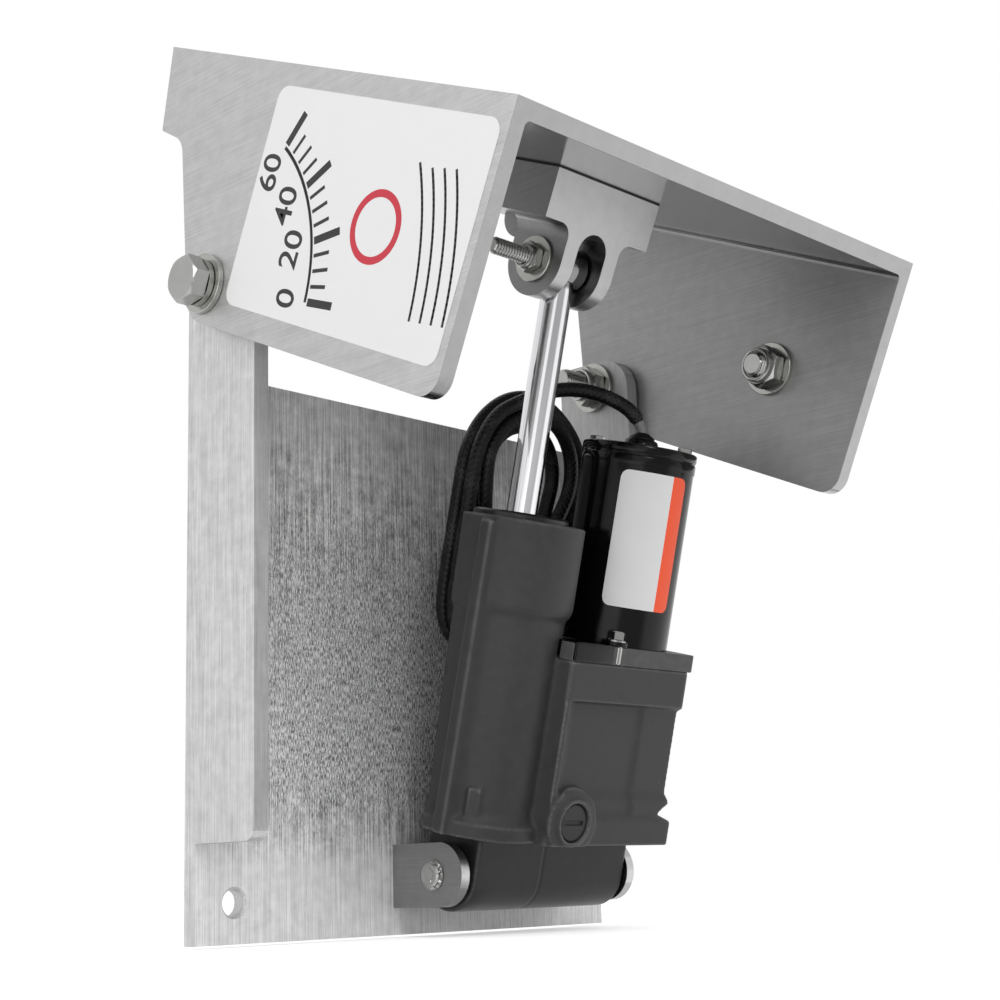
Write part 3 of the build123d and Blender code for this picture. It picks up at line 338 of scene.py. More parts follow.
# The transom plate has strong upright streaks on the broad front face of its web; painted light brightens its front
# faces and the outer face of its left flange, and painted shade darkens the inner face of its right flange
basePaintedLightAndFinish = ((toFront, (0.22, 0.06, 0.6), (0.26, 0.06, 0.6)), (toLeft, (0.13, 0.0, 0.15), (-0.25, 0.0, 0.2)))
basePlate = aluminiumPlate("mill_aluminium_transom_plate", upright, ("#6a6a6a", "#f8f8f8"), (0.42, 0.6), 0.3,
                           (0.1, 0.92), (0.4, 4.2), basePaintedLightAndFinish, sawn=0.42)
# The motor plate is brushed along its length, and its underside is nearly a mirror; painted shade darkens its
# underside, its rear faces and the inner face of its right side
motorPaintedLightAndFinish = ((-plateNormal, (-0.42, -0.16, 0.0), (-0.42, -0.16, 0.0)),
                (-plateBack, (-0.2, 0.1, 0.0), (-0.2, 0.1, 0.0)), (toLeft, (-0.03, 0.16, 0.0), (-0.38, 0.06, 0.45)))
motorPlate = aluminiumPlate("brushed_aluminium_motor_plate", alongPlate, ("#b4b4b4", "#d0d0d0"), (0.26, 0.34), 0.1,
                            (0.1, 0.1), (1.0, 1.0), motorPaintedLightAndFinish)
# Milled 6061 block: light grey with faint cutter marks, painted shade on its left side and a painted shadow in its
# joint under the motor plate
milledBlock = aluminiumPlate("milled_aluminium_block", alongPlate, ("#a6a6a6", "#c0c0c0"), (0.28, 0.38), 0.12,
                             (0.15, 0.15), (1.0, 1.0), ((toLeft, (-0.4, 0.1, 0.0), (-0.6, 0.0, 0.0)),), shadowSeamLevel)
# Passivated 316 stainless: bright, slightly uneven, sharp highlights on its facets
stainless = bareMetal("passivated_stainless_steel", "#aaaaa8", (0.12, 0.24), 0.5, 0.05, 0.1)
# Zinc-plated washers: softer and a little yellower than the bolts
zincWasher = bareMetal("zinc_plated_steel", "#aeaeaa", (0.18, 0.32), 0.5)
# Hard chrome on the rod: ground and polished, a clear mirror up to the eye
eyeDarkFrom = 341
hardChrome = bareMetal("hard_chrome_plating", "#e2e2e4", (0.03, 0.06), 0.8, 0.01, 0.02, pinHeight + eyeDarkFrom)
groundSteel = bareMetal("ground_steel", "#8c8c8c", (0.25, 0.4))
bronze = bareMetal("sintered_bronze", "#8a6a3c", (0.35, 0.5))
castPaint = paintedCasting()
# Baked gloss enamel on the motor: deep black with crisp reflections
glossPaint = skin("baked_gloss_enamel", "#060607", (0.1, 0.18), 3.0, 0.04, 0.1, 0.25)
# Hard-anodised gland: black with a slight sheen
blackAnodised = skin("black_hard_anodising", "#121213", (0.28, 0.36), 0.8, 0.08)
rubber = skin("moulded_nitrile_rubber", "#0c0c0d", (0.35, 0.5), 0.7, 0.2, 0.12, 0.25)
valveSteel = skin("black_phosphated_steel", "#1a1a1b", (0.45, 0.6), 0.6, 0.15)
nylon = skin("moulded_black_nylon", "#1b1b1c", (0.4, 0.55), 0.8, 0.15)
insertNylon = skin("white_nylon_insert", "#c4c4c0", (0.4, 0.55), 0.8, 0.1)
sleeve = braidedSleeve()
# Printed vinyl: smooth film with the faint texture of the metal below it
whiteVinyl = skin("white_vinyl_film", "#e2e2e2", (0.3, 0.38), 2.0, 0.03, 0.015)
orangeVinyl = skin("orange_vinyl_print", "#f7511c", (0.3, 0.38), 2.0, 0.03, 0.02)
blackInk = skin("black_screen_ink", "#1a1a1a", (0.35, 0.45), 2.0, 0.02, 0.05)
redInk = skin("red_screen_ink", "#c0283a", (0.35, 0.45), 2.0, 0.02, 0.05)
ferrite = skin("sintered_ferrite", "#242425", (0.6, 0.7), 0.6, 0.3)
windings = skin("varnished_windings", "#5a2f18", (0.35, 0.5), 0.5, 0.4)
print("materials made")


# A mesh from points and faces, with every face turned outwards
def meshOf(name, points, faces):
    mesh = bpy.data.meshes.new(name)
    mesh.from_pydata([tuple(point) for point in points], [], faces)
    mesh.validate()
    outwards = bmesh.new()
    outwards.from_mesh(mesh)
    bmesh.ops.recalc_face_normals(outwards, faces=outwards.faces)
    outwards.to_mesh(mesh)
    outwards.free()
    return mesh


# A finished mesh in the scene: its material, its body and the nodes that it stands for; its slot is not used
def show(name, mesh, look, body, slot, replaced=(), sharp=35):
    piece = put(name, mesh)
    mesh.materials.append(look)
    for polygon in mesh.polygons:
        polygon.use_smooth = True
    mesh.set_sharp_from_angle(angle=math.radians(sharp))
    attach(piece, body)
    if replaced:
        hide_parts(*replaced)
    return piece


# A piece made of several shapes, each with its own matrix
def build(name, shapes, *rest):
    return show(name, meshOf(name, *gather(*shapes)), *rest)


# A point from its radius, angle and height, in millimetres
def polar(radius, angle, height):
    return Vector((radius * math.cos(angle), radius * math.sin(angle), height)) * mm


# A skin through rings of equal length, with flat ends or as a loop
def ringSkin(rings, loop=False):
    count, rows = len(rings[0]), len(rings)
    points = [point for ring in rings for point in ring]
    faces = []
    for row in range(rows if loop else rows - 1):
        low, high = row * count, (row + 1) % rows * count
        for column in range(count):
            following = (column + 1) % count
            faces.append((low + column, low + following, high + following, high + column))
    if not loop:
        faces += [tuple(reversed(range(count))), tuple(range(len(points) - count, len(points)))]
    return points, faces


# A turned shape from pairs of radius and height, which are a loop if it has a hole. Its radius may change round it.
def turned(profile, segments=72, radiusAt=None, loop=False):
    angles = [2 * math.pi * step / segments for step in range(segments)]
    return ringSkin([[polar(radiusAt(radius, height, angle) if radiusAt else radius, angle, height)
                      for angle in angles] for radius, height in profile], loop)


# A plain round pin, from one height to another
def roundPin(radius, low, high, segments=32):
    return turned([(0.01, low), (radius, low), (radius, high), (0.01, high)], segments)


# Several shapes as one, each with its own matrix
def gather(*shapes):
    points, faces = [], []
    for (shapePoints, shapeFaces), matrix in shapes:
        start = len(points)
        points += [matrix @ Vector(point) for point in shapePoints]
        faces += [tuple(corner + start for corner in face) for face in shapeFaces]
    return points, faces


# A matrix that stands a shape on a point, with its z axis along the normal
def facing(point, normal, turn=0):
    side = Vector((0, 0, 1)) if abs(normal.z) < 0.9 else Vector((1, 0, 0))
    return axes(point, side, normal) @ Matrix.Rotation(math.radians(turn), 4, "Z")


# A hexagon whose corners are turned off under a 30 degree cone, as on a real head or nut
def hexBody(flats, height, hole=0, bothEnds=False):
    sector, cone = math.radians(60), math.tan(math.radians(30))
    inside = flats * 0.475
    drop = (flats / 2 / math.cos(sector / 2) - inside) * cone

    def radiusAt(radius, z, angle):
        if radius <= inside:
            return radius
        flat = flats / 2 / math.cos((angle + sector / 2) % sector - sector / 2)
        limit = inside + (height - z) / cone
        if bothEnds:
            limit = min(limit, inside + z / cone)
        return min(flat, limit)

    fine = [drop * step / 6 for step in range(7)]
    heights = (fine if bothEnds else [0]) + [height - value for value in reversed(fine)]
    outer = [(flats, z) for z in heights]
    if hole:
        start = [(inside * 0.999, 0)] if bothEnds else []
        return turned([(hole / 2, 0)] + start + outer + [(inside * 0.999, height), (hole / 2, height)], 120,
                      radiusAt, True)
    return turned([(0.01, 0)] + outer + [(inside * 0.9, height), (0.01, height)], 120, radiusAt)


# A threaded rod of this length, plain at its start and chamfered at its end
def threaded(size, pitch, length, plain, segments=48):
    steps = int((length - plain) / pitch * 8)
    profile = [(0.01, 0), (size / 2, 0), (size / 2, plain)]
    profile += [(size / 2, plain + (length - plain) * step / steps) for step in range(1, steps + 1)]

    def radiusAt(radius, z, angle):
        if radius < 1 or z <= plain + 0.01:
            return radius
        turn = (z / pitch - angle / (2 * math.pi)) % 1
        cut = pitch * 0.6 * (1 - abs(2 * turn - 1)) * min(1, (z - plain) / pitch)
        return radius - max(cut, (z - length + pitch * 0.9) * 0.9)

    return turned(profile + [(0.01, length)], segments, radiusAt)


# A flat washer with the rolled edge of its punching
def washerRing(outside, inside, thickness, bevel=0.35):
    bore, rim, low, high = inside / 2, outside / 2, bevel, thickness - bevel
    return turned([(bore, 0), (rim - bevel, 0), (rim, low), (rim, high), (rim - bevel, thickness),
                   (bore + bevel, thickness), (bore, high)], loop=True)


# A spring lock washer: square in section, cut through at a slant, with its cut ends apart
def springWasher(outside, inside, thickness):
    section = ((inside / 2, 0), (outside / 2, 0), (outside / 2, 1), (inside / 2, 1))
    slant, seat, twist = math.radians(6), 0.25, 0.65
    rise = thickness - seat - twist
    rings = []
    for share in (step / 60 for step in range(61)):
        turn, lift = slant + (2 * math.pi - 2 * slant) * share, seat + twist * share
        rings.append([polar(radius, turn + slant * z, lift + rise * z) for radius, z in section])
    return ringSkin(rings)


# The steel shapes of a lock nut, and the nylon ring in its crown
def lockNut(size, flats, height, place):
    base, bore, within = height * 0.7, size / 2, size / 2 + 1.6
    steel = hexBody(flats, base, size, True)
    crown = turned([(within, base), (flats * 0.46, base), (flats * 0.455, height * 0.9),
                    (flats * 0.43, height * 0.98), (flats * 0.4, height), (flats * 0.385, height),
                    (flats * 0.385, height * 0.9), (within, height * 0.9)], loop=True)
    insert = turned([(bore, base), (flats * 0.38, base), (flats * 0.38, height * 0.93), (bore + 0.4, height * 0.95),
                     (bore, height * 0.9)], loop=True)
    return [(steel, place), (crown, place)], (insert, place)


# Rounds the edges of a CAD node for the light, through modifiers alone
def soften(node, width, segments=2):
    for kind, settings in (("WELD", {"merge_threshold": 0.00001}),
                           ("DECIMATE", {"decimate_type": "DISSOLVE", "angle_limit": math.radians(0.5)}),
                           ("BEVEL", {"width": width * mm, "segments": segments, "limit_method": "ANGLE",
                                      "angle_limit": math.radians(30)}),
                           ("WEIGHTED_NORMAL", {"weight": 100, "keep_sharp": True})):
        modifier = frame["nodes"][node].modifiers.new(kind.lower(), kind)
        for name, value in settings.items():
            setattr(modifier, name, value)


# Cable: the lead from the motor's tower, then the turns of the hank, then its tail into the plug
cable = {"diameter": 9, "bare": 6.2, "spacing": 9.4, "sides": 18, "pointsPerTurn": 28, "firstTurn": 0.115,
         "lastTurn": 3.2}
leadPoints = [(85.5, -8, 271), (82, -5, 281), (71, 7, 289), (56, 22, 292), (40, 35, 287), (26, 42, 277)]
tailPoints = [(14, 43.5, 204), (22, 45, 195), (27.5, 47.5, 186), (29, 48, 177)]
hankTop, hankLow, hankFront = (46, 235, 52.5), (28, 155, 34), 38.5


# A point of the hank, at a share of a turn that starts at the top and goes left and down
def hankPoint(share, inset, depth, drawnIn):
    runU, runUp = hankTop[0] - hankLow[0], hankTop[1] - hankLow[1]
    distance = math.hypot(runU, runUp)
    up = math.pi / 2 - math.atan2(runU, runUp)
    topRadius, lowRadius = hankTop[2] - inset - drawnIn, hankLow[2] - inset
    taper = math.asin((topRadius - lowRadius) / distance)
    left, right = up + math.pi / 2 + taper, up - math.pi / 2 - taper
    straight = distance * math.cos(taper)
    topArc, lowArc = topRadius * (math.pi / 2 + taper), 2 * lowRadius * (math.pi / 2 - taper)
    walked = share % 1 * (2 * (topArc + straight) + lowArc)
    legs = ((topArc, hankTop, topRadius, up, True), (straight, hankTop, topRadius, left, False),
            (lowArc, hankLow, lowRadius, left, True), (straight, hankLow, lowRadius, right, False),
            (topArc, hankTop, topRadius, right, True))
    for length, centre, radius, angle, bent in legs:
        if walked <= length:
            break
        walked -= length
    angle, onwards = (angle + walked / radius, 0) if bent else (angle, walked)
    u = centre[0] + radius * math.cos(angle) - onwards * math.sin(angle)
    height = centre[1] + radius * math.sin(angle) + onwards * math.cos(angle)
    return onRam(u, hankFront + depth, height)


# 0 before low, 1 after high, and a smooth rise between
def eased(value, low, high):
    share = min(max((value - low) / (high - low), 0), 1)
    return share * share * (3 - 2 * share)


# The turns in their order: outer in front, outer behind, inner behind and inner in front
def hankTurns():
    near, far = cable["spacing"] / 2 + 0.1, cable["spacing"] * 1.5 + 0.2
    points = []
    steps = int((cable["lastTurn"] - cable["firstTurn"]) * cable["pointsPerTurn"])
    for step in range(steps + 1):
        turn = cable["firstTurn"] + step / cable["pointsPerTurn"]
        depth = near + (far - near) * (eased(turn, 0.84, 1.0) - eased(turn, 2.46, 2.64))
        inset = near + (far - near) * eased(turn, 1.66, 1.84)
        # The inner turn behind hangs further in at the top
        drawnIn = 8 * (eased(turn, 1.6, 1.95) - eased(turn, 2.35, 2.7))
        points.append(hankPoint(turn, inset, depth, drawnIn))
    return points


# The points and faces of a mesh
def shapeOf(mesh):
    return [vertex.co.copy() for vertex in mesh.vertices], [tuple(polygon.vertices) for polygon in mesh.polygons]


# The points and faces of a curve or a text
def drawnShape(curve):
    probe = bpy.data.objects.new(curve.name, curve)
    drawn = bpy.data.meshes.new_from_object(probe)
    shape = shapeOf(drawn)
    bpy.data.objects.remove(probe)
    bpy.data.meshes.remove(drawn)
    return shape


# The points along one open NURBS spline, read from it without thickness
def splineLine(name, points):
    curve = bpy.data.curves.new(name, "CURVE")
    curve.dimensions = "3D"
    spline = curve.splines.new("NURBS")
    spline.points.add(len(points) - 1)
    for target, point in zip(spline.points, points):
        target.co = (*point, 1)
    spline.order_u = 3
    spline.use_endpoint_u = True
    spline.resolution_u = 6
    return drawnShape(curve)[0]


# A round tube along a line: its points, its faces and how far each ring is along it
def tubeAlong(line, radiusAt, segments):
    heading = (line[1] - line[0]).normalized()
    side = heading.orthogonal().normalized()
    angles = [2 * math.pi * step / segments for step in range(segments)]
    rings, walks, walked = [], [], 0
    for index, spot in enumerate(line):
        ahead = (line[min(index + 1, len(line) - 1)] - line[max(index - 1, 0)]).normalized()
        side = (side - ahead * side.dot(ahead)).normalized()
        across = ahead.cross(side)
        walked += (spot - line[index - 1]).length / mm if index else 0
        radius = radiusAt(walked) * mm
        rings.append([spot + (side * math.cos(angle) + across * math.sin(angle)) * radius for angle in angles])
        walks.append(walked)
    return *ringSkin(rings), walks


cableRoute = [onRam(*point) for point in leadPoints] + hankTurns() + [onRam(*point) for point in tailPoints]
cableLine = splineLine("motor_cable", cableRoute)


# The bare cable shows for a few millimetres before its sleeve begins
def cableRadius(walked):
    return (cable["bare"] + (cable["diameter"] - cable["bare"]) * eased(walked, 6.5, 8)) / 2


sides = cable["sides"]
cablePoints, cableFaces, cableWalks = tubeAlong(cableLine, cableRadius, sides)
cableMesh = meshOf("motor_cable", cablePoints, cableFaces)
along = cableMesh.attributes.new("along", "FLOAT_VECTOR", "CORNER")
for polygon in cableMesh.polygons:
    corners = [(loop, cableMesh.loops[loop].vertex_index) for loop in polygon.loop_indices]
    wraps = {vertex % sides for _, vertex in corners} >= {0, sides - 1} and len(corners) == 4
    for loop, vertex in corners:
        around = vertex % sides + (sides if wraps and vertex % sides == 0 else 0)
        along.data[loop].vector = (cableWalks[vertex // sides], around / sides, 0)
cablePiece = show("motor_cable", cableMesh, sleeve, "cylinder", "cable", ("harness_lead", "harness_coil"), 60)
print("cable laid")

# CAD nodes that keep their shape, by the slots of the record
looks = {"bracket": basePlate, "machined": milledBlock, "casting": castPaint, "black": glossPaint,
         "stainless": stainless, "chrome": hardChrome, "steel": groundSteel, "bronze": bronze, "seal": rubber,
         "nylon": nylon, "decal": whiteVinyl, "label": whiteVinyl, "cable": sleeve, "magnet": ferrite,
         "winding": windings}
for part in frame["record"]["subparts"]:
    piece = frame["nodes"][part["node"]]
    piece.data.materials.clear()
    piece.data.materials.append(looks[part["material_slot"]])
for node, look in (("tilt_bracket", motorPlate), ("gland", blackAnodised), ("release_valve", valveSteel)):
    frame["nodes"][node].data.materials[0] = look
for node in ("base_bracket", "tilt_bracket", "clevis_block", "lower_ear_left", "lower_ear_right"):
    soften(node, 0.6)
for node in ("motor_adapter", "release_valve"):
    soften(node, 0.9, 3)
print("nodes dressed")

# Main hinge and side bolt, both 5/8 inch
bolt = {"size": 15.9, "pitch": 2.31, "flats": 23.8, "head": 9.2, "washer": 33.3, "washerThick": 3.2,
        "springOutside": 26, "springThick": 4, "nut": 13.5, "outerFace": 172.1, "innerFace": 151.5,
        "hingeLength": 61.3, "hingePlain": 34, "turn": 8}


# On one side's hinge, so far from the middle, looking outwards (1) or inwards (-1)
def hingePlace(side, away, outwards, turn=0):
    return facing(Vector((side * away * mm, hingeCentre.y, hingeCentre.z)), toRight * side * outwards, turn)


bolts, flats, springs, nuts, inserts = [], [], [], [], []
boltHead = hexBody(bolt["flats"], bolt["head"])
boltWasher = washerRing(bolt["washer"], bolt["size"], bolt["washerThick"])
for side in (-1, 1):
    springFace = bolt["outerFace"] + bolt["washerThick"]
    headFace = springFace + bolt["springThick"]
    shank = threaded(bolt["size"] - 0.1, bolt["pitch"], bolt["hingeLength"], bolt["hingePlain"])
    spring = springWasher(bolt["springOutside"], bolt["size"], bolt["springThick"])
    bolts += [(boltHead, hingePlace(side, headFace, 1, bolt["turn"])), (shank, hingePlace(side, headFace, -1))]
    flats += [(boltWasher, hingePlace(side, bolt["outerFace"], 1)),
              (boltWasher, hingePlace(side, bolt["innerFace"], -1))]
    springs.append((spring, hingePlace(side, springFace, 1, 150)))
    steel, insert = lockNut(bolt["size"], bolt["flats"], bolt["nut"],
                            hingePlace(side, bolt["innerFace"] - bolt["washerThick"], -1, 20))
    nuts += steel
    inserts.append(insert)
build("hinge_bolts", bolts, stainless, "base", "stainless", ("pivot_bolts",), 28)
build("hinge_washers", flats, zincWasher, "base", "stainless", ("pivot_washers",))
build("hinge_spring_washers", springs, zincWasher, "base", "stainless", ("lock_washers",))
build("hinge_nuts", nuts, stainless, "base", "stainless", ("pivot_nuts",), 28)
build("hinge_nut_inserts", inserts, insertNylon, "base", "nylon")

# The side bolt stands in the right plate, with its nut inside
sideBolt = {"back": 72.5, "drop": 82.5, "outerFace": 172, "innerFace": 162.5, "seat": 159.3, "length": 29.5,
            "plain": 11}


def sidePlace(x, outwards, turn=0):
    return facing(onPlate(x, sideBolt["back"], sideBolt["drop"]), outwards, turn)


sideShank = threaded(bolt["size"] - 0.1, bolt["pitch"], sideBolt["length"], sideBolt["plain"])
build("plate_bolt", [(boltHead, sidePlace(sideBolt["outerFace"], toRight, 12)),
                     (sideShank, sidePlace(sideBolt["outerFace"], toLeft))], stainless, "tilt_bracket", "stainless",
      ("side_bolt",), 28)
build("plate_bolt_washer", [(boltWasher, sidePlace(sideBolt["innerFace"], toLeft))], zincWasher, "tilt_bracket",
      "stainless", ("side_bolt_washer",))
sideSteel, sideInsert = lockNut(bolt["size"], bolt["flats"], bolt["nut"], sidePlace(sideBolt["seat"], toLeft, 14))
build("plate_bolt_nut", sideSteel, stainless, "tilt_bracket", "stainless", ("side_bolt_nut",), 28)
build("plate_bolt_nut_insert", [sideInsert], insertNylon, "tilt_bracket", "nylon")

# Clevis bolt, M10: its head is on the right, and its long thread stands out on the left
clevis = {"size": 10, "pitch": 2.2, "flats": 16, "head": 6.5, "back": 118, "drop": 61, "left": -18, "right": 26,
          "slotLeft": -7.6, "slotRight": 15.6, "threadEnd": -53.3, "washer": 27, "smallWasher": 20, "thick": 2,
          "plain": 12, "nut": 8}


def clevisPlace(x, outwards, turn=0):
    return facing(onPlate(x, clevis["back"], clevis["drop"]), outwards, turn)


clevisHead = clevis["right"] + clevis["thick"]
clevisThread = threaded(clevis["size"], clevis["pitch"], clevis["slotLeft"] - clevis["threadEnd"], clevis["plain"])
clevisShank = roundPin(clevis["size"] / 2, 0, clevisHead - clevis["slotRight"], 72)
build("clevis_pin_bolt", [(hexBody(clevis["flats"], clevis["head"]), clevisPlace(clevisHead, toRight)),
                          (clevisShank, clevisPlace(clevisHead, toLeft)),
                          (clevisThread, clevisPlace(clevis["slotLeft"], toLeft))], stainless, "tilt_bracket",
      "stainless", ("clevis_bolt",), 28)
clevisWashers = [(washerRing(clevis[width], clevis["size"], clevis["thick"]), clevisPlace(clevis[end], outwards))
                 for width, end, outwards in (("smallWasher", "right", toRight), ("washer", "left", toLeft))]
build("clevis_bolt_washers", clevisWashers, zincWasher, "tilt_bracket", "stainless", ("clevis_washers",))
clevisSeat = clevisPlace(clevis["left"] - clevis["thick"], toLeft, 12)
clevisSteel, clevisInsert = lockNut(clevis["size"], clevis["flats"], clevis["nut"], clevisSeat)
build("clevis_lock_nut", clevisSteel, stainless, "tilt_bracket", "stainless", ("clevis_nut",), 28)
build("clevis_nut_insert", [clevisInsert], insertNylon, "tilt_bracket", "nylon")
print("fasteners made")

# Push-on caps of the lower pin: a domed cap whose rim is split into teeth where it was pressed on
pinCaps = {"ring": 17.6, "dome": 3.0, "teeth": 5, "tornFrom": 205, "tornTo": 335, "whole": 5.5, "deepest": 3.4,
           "toothDepth": 2.6, "middleDepth": 2.8, "left": -21.8, "right": 128.25, "rightShare": 0.55}


def tornRim(radius, height, angle):
    degrees = math.degrees(angle) % 360
    if radius < pinCaps["whole"] or height < 0.3 or not pinCaps["tornFrom"] < degrees < pinCaps["tornTo"]:
        return radius
    share = (degrees - pinCaps["tornFrom"]) / (pinCaps["tornTo"] - pinCaps["tornFrom"])
    wave = abs((share * pinCaps["teeth"] + 0.3 * math.sin(9 * share)) % 1 * 2 - 1)
    depth = pinCaps["toothDepth"] + pinCaps["middleDepth"] * math.sin(math.pi * share)
    return max(radius - depth * wave, pinCaps["deepest"])


capProfile = [(0.01, 0), (pinCaps["ring"] / 2, 0), (pinCaps["ring"] / 2, 0.55), (8.3, 0.75), (8.1, 1.2), (7.4, 1.9),
              (5.8, 2.5), (3.5, 2.85), (0.01, pinCaps["dome"])]
flatProfile = [(radius, height * pinCaps["rightShare"]) for radius, height in capProfile]


def capPlace(x, outwards):
    return facing(Vector((x * mm, lowerPin.y, lowerPin.z)), outwards)


build("pin_push_caps", [(turned(capProfile, 144, tornRim), capPlace(pinCaps["left"], toLeft)),
                        (turned(flatProfile, 72), capPlace(pinCaps["right"], toRight))], stainless, "base",
      "stainless", ("pin_rings",), 30)

# Castings: barrel, pump and manifold were cast and filed as one skin, so their solids are remeshed together
casting = {"grain": 1.0, "smoothing": 12, "edgeSmoothing": 2, "pull": 0.7, "barrelCentre": (1.5, -1.5),
           "barrelWall": (30, 37), "barrelRight": 34, "collar": 154, "collarStep": 1.8, "barrelFoot": 34,
           "ribBack": -9.5, "ribHalf": 6, "lip": 109, "lipStep": 2.4, "pumpFoot": 52, "pumpLeft": 20,
           "pumpRight": 112, "pumpFront": -38, "lugJoint": 42, "lugTop": 24, "grooveHalf": 0.9, "grooveDepth": 0.7}


def oneSkin(name, nodes):
    shapes = [(shapeOf(frame["nodes"][node].data), Matrix.Identity(4)) for node in nodes]
    rough = put(name, meshOf(name, *gather(*shapes)))
    remesh = rough.modifiers.new("skin", "REMESH")
    remesh.mode = "VOXEL"
    remesh.voxel_size = casting["grain"] * mm
    made = bpy.data.meshes.new_from_object(rough.evaluated_get(bpy.context.evaluated_depsgraph_get()))
    bpy.data.objects.remove(rough)
    made.name = name
    return made


# Moulded fillets: hollows are smoothed fully and outer edges a little, as sand fills the one and not the other
def fillHollows(mesh):
    def read(rows, field, width, kind=float):
        values = numpy.empty(len(rows) * width, dtype=kind)
        rows.foreach_get(field, values)
        return values

    def ramp(distance, over):
        return numpy.clip(distance / over, 0, 1)

    def store():
        mesh.vertices.foreach_set("co", spots.ravel())
        mesh.update()

    count = len(mesh.vertices)
    spots = read(mesh.vertices, "co", 3).reshape(count, 3)
    ends = read(mesh.edges, "vertices", 2, int)
    first, second = ends[0::2], ends[1::2]
    neighbours = numpy.bincount(ends, minlength=count)
    turnIn, place = numpy.array(ramFrame.to_3x3()), numpy.array(ramFrame.translation)
    local = (spots - place) @ turnIn / mm
    centreU, centreBack = casting["barrelCentre"]
    u, back, height = local[:, 0], local[:, 1], local[:, 2]
    # The barrel steps in below its collar, and the pump below its lip
    across = numpy.hypot(u - centreU, back - centreBack)
    rib = (numpy.abs(back - casting["ribBack"]) < casting["ribHalf"]) & (u < 0)
    inner, outer = casting["barrelWall"]
    barrel = (across > inner) & (across < outer) & ~rib & (u < casting["barrelRight"])
    below = ramp(casting["collar"] - height, 2) * ramp(height - casting["barrelFoot"], 4)
    inwards = numpy.where(barrel, casting["collarStep"] * below / numpy.maximum(across, 1), 0)
    local[:, 0] -= (u - centreU) * inwards
    local[:, 1] -= (back - centreBack) * inwards
    waist = ramp(casting["lip"] - height, 1.5) * ramp(height - casting["pumpFoot"], 5)
    front = ramp(u - casting["pumpLeft"], 4) * (back < casting["pumpFront"])
    local[:, 1] += front * waist * casting["lipStep"]
    local[:, 0] -= (u > casting["pumpRight"]) * waist * casting["lipStep"]
    spots = local * mm @ turnIn.T + place
    for turn in range(casting["smoothing"]):
        around = [numpy.bincount(first, column[second], count) + numpy.bincount(second, column[first], count)
                  for column in spots.T]
        move = numpy.stack(around, axis=1) / neighbours[:, None] - spots
        if turn % 4 == 0:
            store()
            normals = read(mesh.vertex_normals, "vector", 3).reshape(count, 3)
        hollow = (move * normals).sum(axis=1) > 0
        strength = casting["pull"] * (hollow | (turn < casting["edgeSmoothing"]))
        spots += move * strength[:, None]
    # The joint of the lug's two halves shows as a fine groove
    local = (spots - place) @ turnIn / mm
    beside = numpy.abs(local[:, 0] - casting["lugJoint"])
    groove = numpy.clip(1 - beside / casting["grooveHalf"], 0, 1) * (local[:, 2] < casting["lugTop"])
    spots -= normals * (groove * casting["grooveDepth"] * mm)[:, None]
    store()


castNodes = ("cylinder_housing", "pump_housing", "lower_manifold")
castSkin = oneSkin("ram_casting", castNodes)
fillHollows(castSkin)
show("ram_casting", castSkin, castPaint, "cylinder", "casting", castNodes, 80)
print("castings skinned", len(castSkin.polygons))

# Motor: end cap with two rolled bands and its cable tower, rubber grommet, a black block as painted shadow on the
# adapter, and a dowel
motorCap = {"radius": 35.0, "low": 249.5, "top": 262, "tower": 267}
motorFrame = ramFrame @ Matrix.Translation((shaftSpot.x, shaftSpot.y, 0))
capRadius = motorCap["radius"]
capLoop = [(34.52, motorCap["low"]), (34.9, motorCap["low"]), (capRadius, 250), (capRadius, 254.6), (34.8, 255),
           (34.56, 255.3), (34.56, 256.6), (34.8, 256.9), (capRadius, 257.3), (capRadius, 260.6), (34.6, 261.4),
           (33.6, 261.9), (12.6, motorCap["top"]), (11.2, 262.6), (10.5, 264), (10.2, 265.4), (9.5, 266.4),
           (8.2, motorCap["tower"]), (3.4, motorCap["tower"]), (3.4, 256.1), (34.52, 256.1)]
build("motor_end_cap", [(turned(capLoop, 128, loop=True), motorFrame)], glossPaint, "cylinder", "black",
      ("motor_cap",), 30)
grommetLoop = [(3.25, 266.4), (8.0, 267.02), (7.6, 268.2), (6.4, 269.2), (5.0, 270.0), (4.2, 270.8), (3.25, 271)]
build("cable_tower_grommet", [(turned(grommetLoop, 48, loop=True), motorFrame)], rubber, "cylinder", "seal",
      ("cable_grommet",))
soften("motor_can", 0.4)
# Painted shadow: a black block on the left of the motor adapter stands for the shade there
foot = {"left": 14.2, "right": 47.5, "front": 45.7, "back": 20, "low": 131.8, "high": 142.6}
shadowBlockCorners = ((foot["left"], -foot["front"]), (foot["right"], -foot["front"]), (foot["right"], -foot["back"]),
               (foot["left"], -foot["back"]))
shadowBlockRings = [[onRam(u, back, height) for u, back in shadowBlockCorners] for height in (foot["low"], foot["high"])]
shadowBlockMesh = meshOf("adapter_shadow_block", *ringSkin(shadowBlockRings))
sculpt = bmesh.new()
sculpt.from_mesh(shadowBlockMesh)
bmesh.ops.bevel(sculpt, geom=sculpt.edges[:], offset=1.0 * mm, segments=3, profile=0.5, affect="EDGES")
sculpt.to_mesh(shadowBlockMesh)
sculpt.free()
show("adapter_shadow_block", shadowBlockMesh, glossPaint, "cylinder", "black")
footBolt = {"radius": 42.5, "flats": 10, "head": 6, "collar": 12.4, "collarThick": 1.4, "shank": 5.9, "low": 145}
footShapes = []
